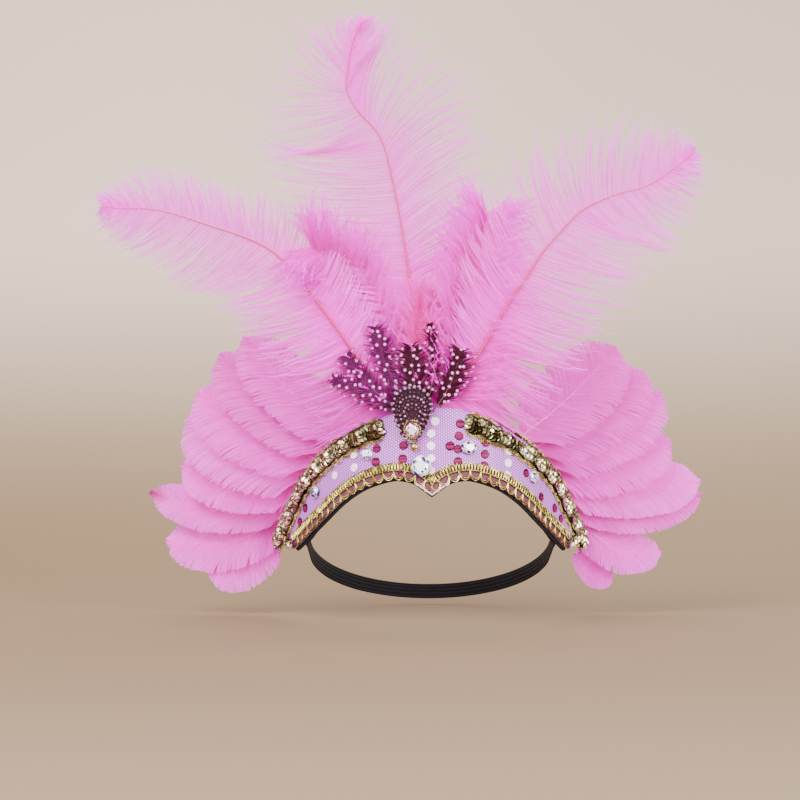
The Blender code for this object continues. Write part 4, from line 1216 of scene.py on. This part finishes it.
def makeTrim(node, sign, begins, cups, cordFinish, laceCloth, seed):
    start, end, width = sign * begins, sign * trim["reach"], trim["width"]
    total = edgeShares("upper", start, end, 10)[1]

    def middle(run):
        # near the band's end the trim turns in to meet the gimp
        return width * 0.5 + trim["turnIn"] * smoothStep(total - trim["turnRun"], total, run)

    def winding(run):
        return math.sin(math.tau * run / trim["pitch"])

    cup, meshes = ringStamp("cup", [(1.0, 0.26), (0.66, 0.07), (0.14, 0.0)], 14, False), []
    for k, (aside, swing, lift, tilt, radius, step, above, since, until, finish) in enumerate(cups):
        count = round(total / step)

        def windingInset(run):
            return middle(run) + aside + swing * winding(run)

        rows, _ = edgeRow("upper", start, end, count, windingInset, trim["lift"] + lift)
        rows = [
            row for i, row in enumerate(rows)
            if winding(total * i / count) > above and since <= i / count <= until
        ]
        meshes.append(stamped(rows, cup, radius, finish, seed + 7 * k, 0.1, 0.18, tilt * sign))
    tail = []
    for k in range(trim["tailCount"]):
        flat = crescent(sign * (0.966 - 0.014 * (k % 2)), 0.1 + 0.68 * k / (trim["tailCount"] - 1))
        tail.append((onCrown(flat, 1.4 + 0.5 * (k % 2)), crownNormal(flat.x, flat.y), upward))
    meshes.append(stamped(tail, cup, trim["tailRadius"], cups[-1][-1], seed, 0.1, 0.2, 0.1 * sign))
    for side in (-1, 1):
        for extra, radius in trim["cords"]:
            def scalloped(run):
                wave = trim["scallop"] * abs(math.sin(math.pi * run / trim["scallopPitch"]))
                return middle(run) + side * (trim["cordAside"] + extra + wave)

            rows, length = edgeRow("upper", start, end, 420, scalloped, trim["cordLift"])
            loops = round(length / trim["cordTwist"])
            meshes.append(wired(rows, loops, 8, radius * 0.62, cordFinish, radius, radius, shift=extra * 4.0))

    def insetAndLift(u, v):
        return middle(total * u) + width * trim["laceShare"] * (v - 0.5), trim["laceLift"]

    lace = edgeSheet("lace", "upper", start, end, 0.02, insetAndLift, 120, 4, laceCloth, sign > 0)
    finishPiece(camel(node), meshes + [thickened(lace, trim["laceWall"], 0.0)], [node], "gold_sequin")


motif = {
    "x": -12.4, "top": 62.0, "foot": 27.0, "half": 14.0, "footY": -77.8, "topY": -85.2, "wall": 2.2,
    "stone": (-12.4, 35.5), "dropRadius": 2.6,
    # inset, count, radius, lift, pale or dark
    "bands": [
        (0.4, 30, 1.15, 1.5, 1), (2.7, 30, 0.95, 2.0, 0), (4.7, 26, 0.85, 2.2, 1), (6.6, 21, 0.85, 2.3, 0),
        (8.5, 15, 0.85, 2.35, 1), (10.6, 9, 0.8, 2.4, 0),
    ],
}


def motifNormal():
    return Vector((0, motif["foot"] - motif["top"], motif["topY"] - motif["footY"])).normalized()


def motifPoint(x, z, lift=0.0):
    share = (z - motif["foot"]) / (motif["top"] - motif["foot"])
    return Vector((x, motif["footY"] + (motif["topY"] - motif["footY"]) * share, z)) + motifNormal() * lift


def pearOutline(turn, inset=0.0):
    height = motif["top"] - motif["foot"]
    rising = (1 - math.cos(turn)) / 2
    wide = motif["half"] * math.sin(turn) * (0.45 + 0.55 * rising) * 1.12
    shrink = 1 - inset / motif["half"]
    middle = motif["foot"] + height * 0.5
    return motif["x"] + wide * shrink, middle + (motif["foot"] + height * rising - middle) * shrink


def makeMotif(plate, darkBeads, paleBeads, cord, gold):
    normal, (stoneX, stoneZ) = motifNormal(), motif["stone"]

    def dome(u, v):
        inset = motif["half"] * min(0.985, v) if v > 0.12 else 0.0
        lift = motif["wall"] * (0.6 + 0.4 * smoothStep(0.1, 0.7, v)) if v > 0.06 else 0.0
        return motifPoint(*pearOutline(math.tau * u, inset), lift)

    meshes = [gridMesh("pear", dome, 64, 16, plate, None, True)]
    bead = ringStamp("bead", [(0.5, -0.86), (0.86, -0.5), (1.0, 0.0), (0.86, 0.5), (0.5, 0.86)], 8, True)
    for inset, count, radius, lift, tone in motif["bands"]:
        rows = []
        for k in range(count):
            x, z = pearOutline(math.tau * (k + 0.5) / count, inset)
            # no beads under the stone
            if inset < 1 or (x - stoneX) ** 2 / 30 + (z - stoneZ) ** 2 / 42 >= 1:
                rows.append((motifPoint(x, z, lift), normal, upward))
        beads = paleBeads if tone else darkBeads
        meshes.append(stamped(rows, bead, radius, beads, round(inset * 10), 0.35, 0.8))
    middle, rows = motifPoint(stoneX, stoneZ, 2.5), []
    for k in range(49):
        a = math.tau * k / 48
        spot = motifPoint(stoneX + 5.0 * math.cos(a), stoneZ + 5.8 * math.sin(a), 2.5)
        rows.append((spot, normal, (middle - spot).normalized()))
    meshes.append(wired(rows, 26, 8, 0.3, cord, 0.4, 0.4))
    finishPiece("beadedPear", meshes, ["motif_plate"], "motif_beads")

    clear = motif["dropRadius"] + crownForm["gap"]
    centre = crownPoint(motif["x"] + 1.6, motif["foot"] - clear, clear)

    def ball(u, v):
        turn, rise = math.tau * u, math.pi * (v - 0.5)
        way = Vector((math.cos(turn) * math.cos(rise), math.sin(turn) * math.cos(rise), math.sin(rise)))
        return centre + way * (motif["dropRadius"] * (1 + 0.02 * math.cos(6 * turn) * math.cos(rise)))

    finishPiece("goldDrop", [gridMesh("drop", ball, 28, 18, gold)], ["motif_drop"], "gold_bead")


strap = {
    "halfWidth": 79.0, "back": 106.0, "widest": 4.0, "seats": (0.80, 0.85, 0.90), "across": 0.22, "nape": -80.0,
    "wide": 10.0, "wall": 1.2, "steps": 240,
}


def makeStrap(elastic):
    # flat on the lining, then clear of the temples and round the nape
    behind = liningDepth(0.5) + 1.5 + crownForm["gap"] + strap["wall"] / 2
    found = [onCrown(crescent(share, strap["across"]), -behind) for share in strap["seats"]]
    leaves, seat, deep = found[-1], found[-1].z, strap["back"] - strap["widest"]
    first = Vector((strap["halfWidth"], strap["widest"], seat + (strap["nape"] - seat) * 0.17))
    found += [leaves.lerp(first, 0.3), leaves.lerp(first, 0.64)]
    for k in range(9):
        angle = math.pi / 2 * k / 8
        drop = seat + (strap["nape"] - seat) * math.sin(math.pi / 2 * (k + 1) / 9)
        found.append(Vector((strap["halfWidth"] * math.cos(angle), strap["widest"] + deep * math.sin(angle), drop)))
    line = found + [Vector((-p.x, p.y, p.z)) for p in reversed(found[:-1])]
    keyed, steps = [(i, *p) for i, p in enumerate(line)], strap["steps"]
    spots = [Vector(interpolate(keyed, (len(line) - 1) * i / steps)) for i in range(steps + 1)]

    def place(u, v):
        i, turn = round(u * steps), math.tau * v
        along = (spots[min(i + 1, steps)] - spots[max(i - 1, 0)]).normalized()
        thick = along.cross(upward).normalized()
        wide = thick.cross(along).normalized()
        across = max(-1.0, min(1.0, 1.25 * math.cos(turn)))
        return spots[i] + wide * across * strap["wide"] / 2 + thick * math.sin(turn) * strap["wall"] / 2

    finishPiece("elasticStrap", [gridMesh("strap", place, steps, 24, elastic)], ["elastic_strap"], "black_elastic")


# finishes of the band

cloth = {"across": 290.0, "high": 110.0, "netPitch": 1.5, "netWays": ((1.0, 0.0), (0.5, 0.866), (-0.5, 0.866))}


def clothMaterial(name):
    # lilac satin under a fine six-sided net, drawn from three crossing waves
    made, w = newFinish(name)
    x, y = uvParts(w)
    run, high, pitch = x * cloth["across"], y * cloth["high"], cloth["netPitch"]
    waves = [
        w.sum("COSINE", run * (cx * math.tau / pitch) + high * (cy * math.tau / pitch)) for cx, cy in cloth["netWays"]
    ]
    thread = w.ramp(waves[0] + waves[1] + waves[2], -0.75, 0.6, 1.0, 0.0)
    weaveAndSheen = w.noise(w.point(run * 6.0, high * 1.2), 1.0, 2.0)
    ground = w.colour(w.noise(w.point(run, high), 0.09, 3.0), (220, 88, 232), (238, 124, 246))
    # painted sheen: the weave paints paler streaks into the satin's colour
    ground = w.colour(weaveAndSheen * 0.3, ground, (238, 176, 246))
    return painted(made, w, {
        "Base Color": w.colour(thread * 0.88, ground, (100, 44, 132)), "Roughness": w.ramp(weaveAndSheen, 0.2, 0.8, 0.32, 0.6),
        "Sheen Weight": 0.3,
    }, (thread, 0.5, 0.0002))


def feltMaterial(name, dark, light, scale):
    made, w = newFinish(name)
    fibres = w.noise(w.out("Object", "ShaderNodeTexCoord"), scale, 5.0, 0.7)
    return painted(made, w, {
        "Base Color": w.colour(fibres, dark, light), "Roughness": w.ramp(fibres, 0.2, 0.8, 0.8, 1.0),
        "Specular IOR Level": 0.2,
    }, (fibres, 0.6, 0.0004))


def elasticMaterial(name):
    # knitted elastic: ribs along it and short stitches across
    made, w = newFinish(name)
    x, y = uvParts(w)
    ribs = w.sum("ABSOLUTE", w.sum("SINE", y * (16 * math.pi)))
    height = ribs * (0.4 + w.sum("ABSOLUTE", w.sum("SINE", x * (330 * math.pi) + y * 30.0)) * 0.6)
    return painted(made, w, {
        # painted shade: the colour darkens in the grooves between ribs and stitches, with the bump's height
        "Base Color": w.colour(height, (0.0015, 0.0015, 0.002, 1), (0.009, 0.008, 0.01, 1)),
        "Roughness": w.ramp(height, 0.0, 1.0, 0.9, 0.6), "Specular IOR Level": 0.2,
    }, (height, 0.7, 0.0004))


def sequinMaterial(name, rim, body, glint, metallic, roughness):
    # UV x is the tone of each one, which paints it between its body colour and a painted glint, a highlight painted
    # into the colour; y runs from its middle to its rim, which is painted darker as shade
    made, w = newFinish(name)
    tone, out = uvParts(w)
    shade, metal = w.noise(w.point(tone * 40.0, 0.0), 1.0, 0.0), metallic > 0.9
    base = w.colour(w.ramp(out, 0.72, 0.92), w.colour(w.ramp(shade, 0.3, 0.7), body, glint), rim)
    return painted(made, w, {
        "Base Color": base, "Roughness": w.ramp(shade, 0.2, 0.8, roughness, roughness * 1.8), "Metallic": metallic,
        "Specular IOR Level": 0.5 if metal else 0.12, "Coat Weight": 0.6 if metal else 0.03, "Coat Roughness": 0.08,
    })


def stoneMaterial(name, light, middle, dark):
    # a foil-backed cut stone: each facet takes a tone of its own from the way it faces, light, middle or dark, a
    # painted reflection standing in for the light its facets catch
    made, w = newFinish(name)
    facing = w.scaled(w.out("Normal", "ShaderNodeTexCoord"), 23.0)
    tone = w.get("ShaderNodeTexWhiteNoise", w.vector("FLOOR", facing))
    base = w.colour(w.ramp(tone, 0.58, 0.62), w.colour(w.ramp(tone, 0.36, 0.4), dark, middle), light)
    return painted(made, w, {
        "Base Color": base, "Roughness": w.ramp(tone, 0.0, 1.0, 0.04, 0.12), "Metallic": 0.15,
        "Coat Weight": 0.8, "Coat Roughness": 0.02,
    })


brilliant = {
    # radius share, height share, turned half a side
    "sides": 9, "rings": [(0.93, 0.0, 0), (1.0, 0.3, 0), (0.95, 0.5, 1), (0.74, 0.84, 0), (0.5, 1.0, 1)],
}


def makeStone(node, finish):
    # a cut stone in place of the model's plain one, in the same seat
    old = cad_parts[node]
    spots = [old.matrix_world @ v.co for v in old.data.vertices]
    areas = {}
    for face in old.data.polygons:
        way = old.matrix_world.to_3x3() @ face.normal
        if way.y < -0.2:
            key = tuple(round(c, 2) for c in way)
            areas[key] = areas.get(key, 0) + face.area
    normal = Vector(max(areas, key=areas.get)).normalized()
    aside = upward.cross(normal).normalized()
    rise = normal.cross(aside)

    def extent(way):
        found = [p.dot(way) for p in spots]
        return (min(found) + max(found)) / 2, (max(found) - min(found)) / 2

    turns = [math.pi * k / 12 for k in range(12)]
    longest = max(turns, key=lambda a: extent(aside * math.cos(a) + rise * math.sin(a))[1])
    first = aside * math.cos(longest) + rise * math.sin(longest)
    second = normal.cross(first)
    (x, halfX), (y, halfY), (z, halfZ) = extent(first), extent(second), extent(normal)
    foot = first * x + second * y + normal * (z - halfZ)
    sides, points, uvs, faces = brilliant["sides"], [], [], []
    for radius, height, half in brilliant["rings"]:
        for k in range(sides):
            a = math.tau * (k + half / 2) / sides
            points.append(
                foot + first * halfX * radius * math.cos(a) + second * halfY * radius * math.sin(a)
                + normal * height * halfZ * 2
            )
            spread = 0.48 * (radius if height > 0.2 else 0.4) * (1 - height * 0.1)
            uvs.append((0.5 + spread * math.cos(a), 0.5 + spread * math.sin(a)))
    for r, (low, high) in enumerate(zip(brilliant["rings"], brilliant["rings"][1:])):
        at, above = r * sides, (r + 1) * sides
        for k in range(sides):
            n = (k + 1) % sides
            if low[2] == high[2]:
                faces.append((at + k, at + n, above + n, above + k))
            elif high[2]:
                faces += [(at + k, at + n, above + k), (at + n, above + n, above + k)]
            else:
                faces += [(at + k, above + n, above + k), (at + k, at + n, above + n)]
    last = len(points) - sides
    faces += [tuple(range(last, last + sides)), tuple(range(sides))[::-1]]
    finishPiece(camel(node), [meshOf(node, points, faces, uvs, finish, smooth=False)], [node], "clear_stone")


# making it all

makeStudio()
print("studio made")
ostrich = featherMaterial("ostrichPink", (255, 24, 230), (255, 66, 238), (255, 128, 244), 0.45, 0.4, 0.4)
marabou = featherMaterial("downPink", (246, 0, 198), (248, 2, 216), (252, 42, 240), 0.4, 0.3, 0.26)
rose = featherMaterial("downRose", (226, 0, 140), (242, 4, 184), (250, 46, 224), 0.5, 0.3, 0.25)
# lit and shaded copies of one pink, picked per feather by the shade column of gooseRows: painted light and shade; the
# last also darkens towards its tip
gooseLitAndShadedTones = [
    featherMaterial("gooseShadedPink", (246, 70, 222), (246, 84, 228), (250, 112, 234), 0.5, 0.2, 0.62),
    featherMaterial("gooseHalfShadedPink", (253, 74, 232), (253, 88, 238), (255, 118, 242), 0.5, 0.2, 0.62),
    featherMaterial("gooseLitPink", (255, 88, 238), (255, 102, 242), (255, 132, 246), 0.5, 0.2, 0.62),
    featherMaterial("gooseDarkTip", (255, 86, 236), (255, 100, 240), (252, 126, 244), 0.5, 0.2, 0.62, (205, 60, 150)),
]
coral = shaftMaterial("coralShaft", (196, 0, 110), (220, 6, 134))
paleShaft = shaftMaterial("paleShaft", (255, 130, 240), (252, 100, 225))
darkShaft = shaftMaterial("darkShaft", (90, 60, 70), (60, 30, 45))
plum = guineaMaterial("guineaPlum", (40, 0, 32), (112, 12, 88), (244, 158, 226), 5.0)
black = guineaMaterial("guineaBlack", (14, 0, 8), (72, 0, 34), (240, 160, 214), 4.9)
for seed, node in enumerate(plumes, 3):
    soft = rose if node == "down_centre" else marabou
    makePlume(node, *((ostrich, coral) if node.startswith("plume") else (soft, paleShaft)), seed)
print("soft plumes made")
makeGoose(gooseLitAndShadedTones, paleShaft)
print("goose feathers made")
makeGuinea([plum, plum, plum, black, black, black], darkShaft)
print("guinea feathers made")

goldWire = metalMaterial("goldWire", (244, 228, 132), (128, 106, 44), 0.24, 300)
copperWire = metalMaterial("copperWire", (232, 206, 140), (136, 92, 52), 0.28, 300)
goldCups = sequinMaterial("brightGoldSequin", (110, 98, 40), (190, 178, 104), (255, 252, 224), 1.0, 0.14)
copperCups = sequinMaterial("copperGoldSequin", (84, 58, 36), (150, 116, 78), (250, 230, 190), 1.0, 0.18)
# painted shade: the lower rows of cups are painted nearly black, standing in for the shade in the gaps under the upper
# cups
shadedLowerCups = sequinMaterial("shadedGoldSequin", (16, 15, 8), (50, 46, 22), (140, 132, 76), 1.0, 0.22)
sageCups = sequinMaterial("sageGoldSequin", (60, 54, 24), (132, 122, 70), (226, 216, 158), 1.0, 0.2)
lace = feltMaterial("laceNet", (44, 34, 16), (176, 154, 92), 1300)
makeCrown(
    clothMaterial("lilacNetCloth"), sequinMaterial("wineSequin", (30, 0, 14), (58, 0, 30), (150, 10, 86), 0.1, 0.35),
    sequinMaterial("paleSequin", (240, 160, 212), (252, 215, 240), (255, 250, 255), 0.1, 0.16),
)
makeLining(feltMaterial("blackFelt", (0.006, 0.005, 0.007, 1), (0.03, 0.027, 0.033, 1), 700))
makePiping(
    feltMaterial("winePipingSatin", (58, 20, 32), (136, 78, 98), 500),
    feltMaterial("paleLilacCord", (200, 150, 210), (240, 214, 240), 900),
)
makeGimp(goldWire, feltMaterial("gimpRibbon", (46, 30, 22), (104, 76, 52), 1100))
# aside, swing, lift, tilt, radius, step, kept above this share of the winding, from and to along the trim, finish
baseCups = [
    (-2.7, 0.6, 0.0, -0.3, 2.9, 2.7, -2, 0, 1, shadedLowerCups), (2.5, 0.6, 0.0, -0.3, 2.9, 2.7, -2, 0, 1, shadedLowerCups),
]
leftCups = baseCups + [
    (-1.6, 0.8, 0.8, -0.8, 3.0, 1.9, 0.1, 0, 1, copperCups), (2.0, 0.8, 0.9, -0.8, 3.0, 1.9, -0.3, 0, 1, copperCups),
]
rightCups = baseCups + [
    (-0.6, 1.4, 0.9, -0.95, 2.9, 2.0, -0.2, 0, 0.34, sageCups),
    (2.4, 1.2, 0.9, -0.9, 2.7, 2.3, -0.1, 0, 0.32, sageCups),
    (-1.6, 0.9, 0.8, -0.12, 3.1, 3.0, 0.1, 0.3, 1, goldCups), (2.0, 0.9, 1.1, -0.12, 3.2, 3.0, -0.4, 0.3, 1, goldCups),
]
makeTrim("sequin_trim_left", -1, trim["left"], leftCups, copperWire, lace, 60)
makeTrim("sequin_trim_right", 1, trim["right"], rightCups, goldWire, lace, 80)
print("crown, braid and trims made")
makeMotif(
    feltMaterial("pearGround", (22, 8, 16), (66, 36, 52), 600),
    sequinMaterial("burgundyBead", (34, 6, 20), (62, 16, 40), (128, 64, 96), 0.4, 0.3),
    sequinMaterial("rosyBead", (46, 18, 32), (80, 44, 62), (198, 160, 180), 0.4, 0.3),
    goldWire, metalMaterial("goldBead", (236, 214, 130), (165, 130, 50), 0.18, 160),
)
makeStrap(elasticMaterial("knittedElastic"))
clearStone = stoneMaterial("clearStone", (255, 252, 255), (186, 150, 208), (42, 34, 78))
for node in ("stone_middle", "stone_left", "stone_right", "stone_left_end", "stone_right_end"):
    makeStone(node, clearStone)
makeStone("motif_stone", stoneMaterial("roseStone", (255, 232, 240), (206, 130, 160), (110, 40, 70)))
for made in stamps:
    bpy.data.objects.remove(made)
print("motif, strap and stones made")

for name, count in sorted(tally.items(), key=lambda item: -item[1]):
    print("triangles", name, count)
print("triangles in all", sum(tally.values()))
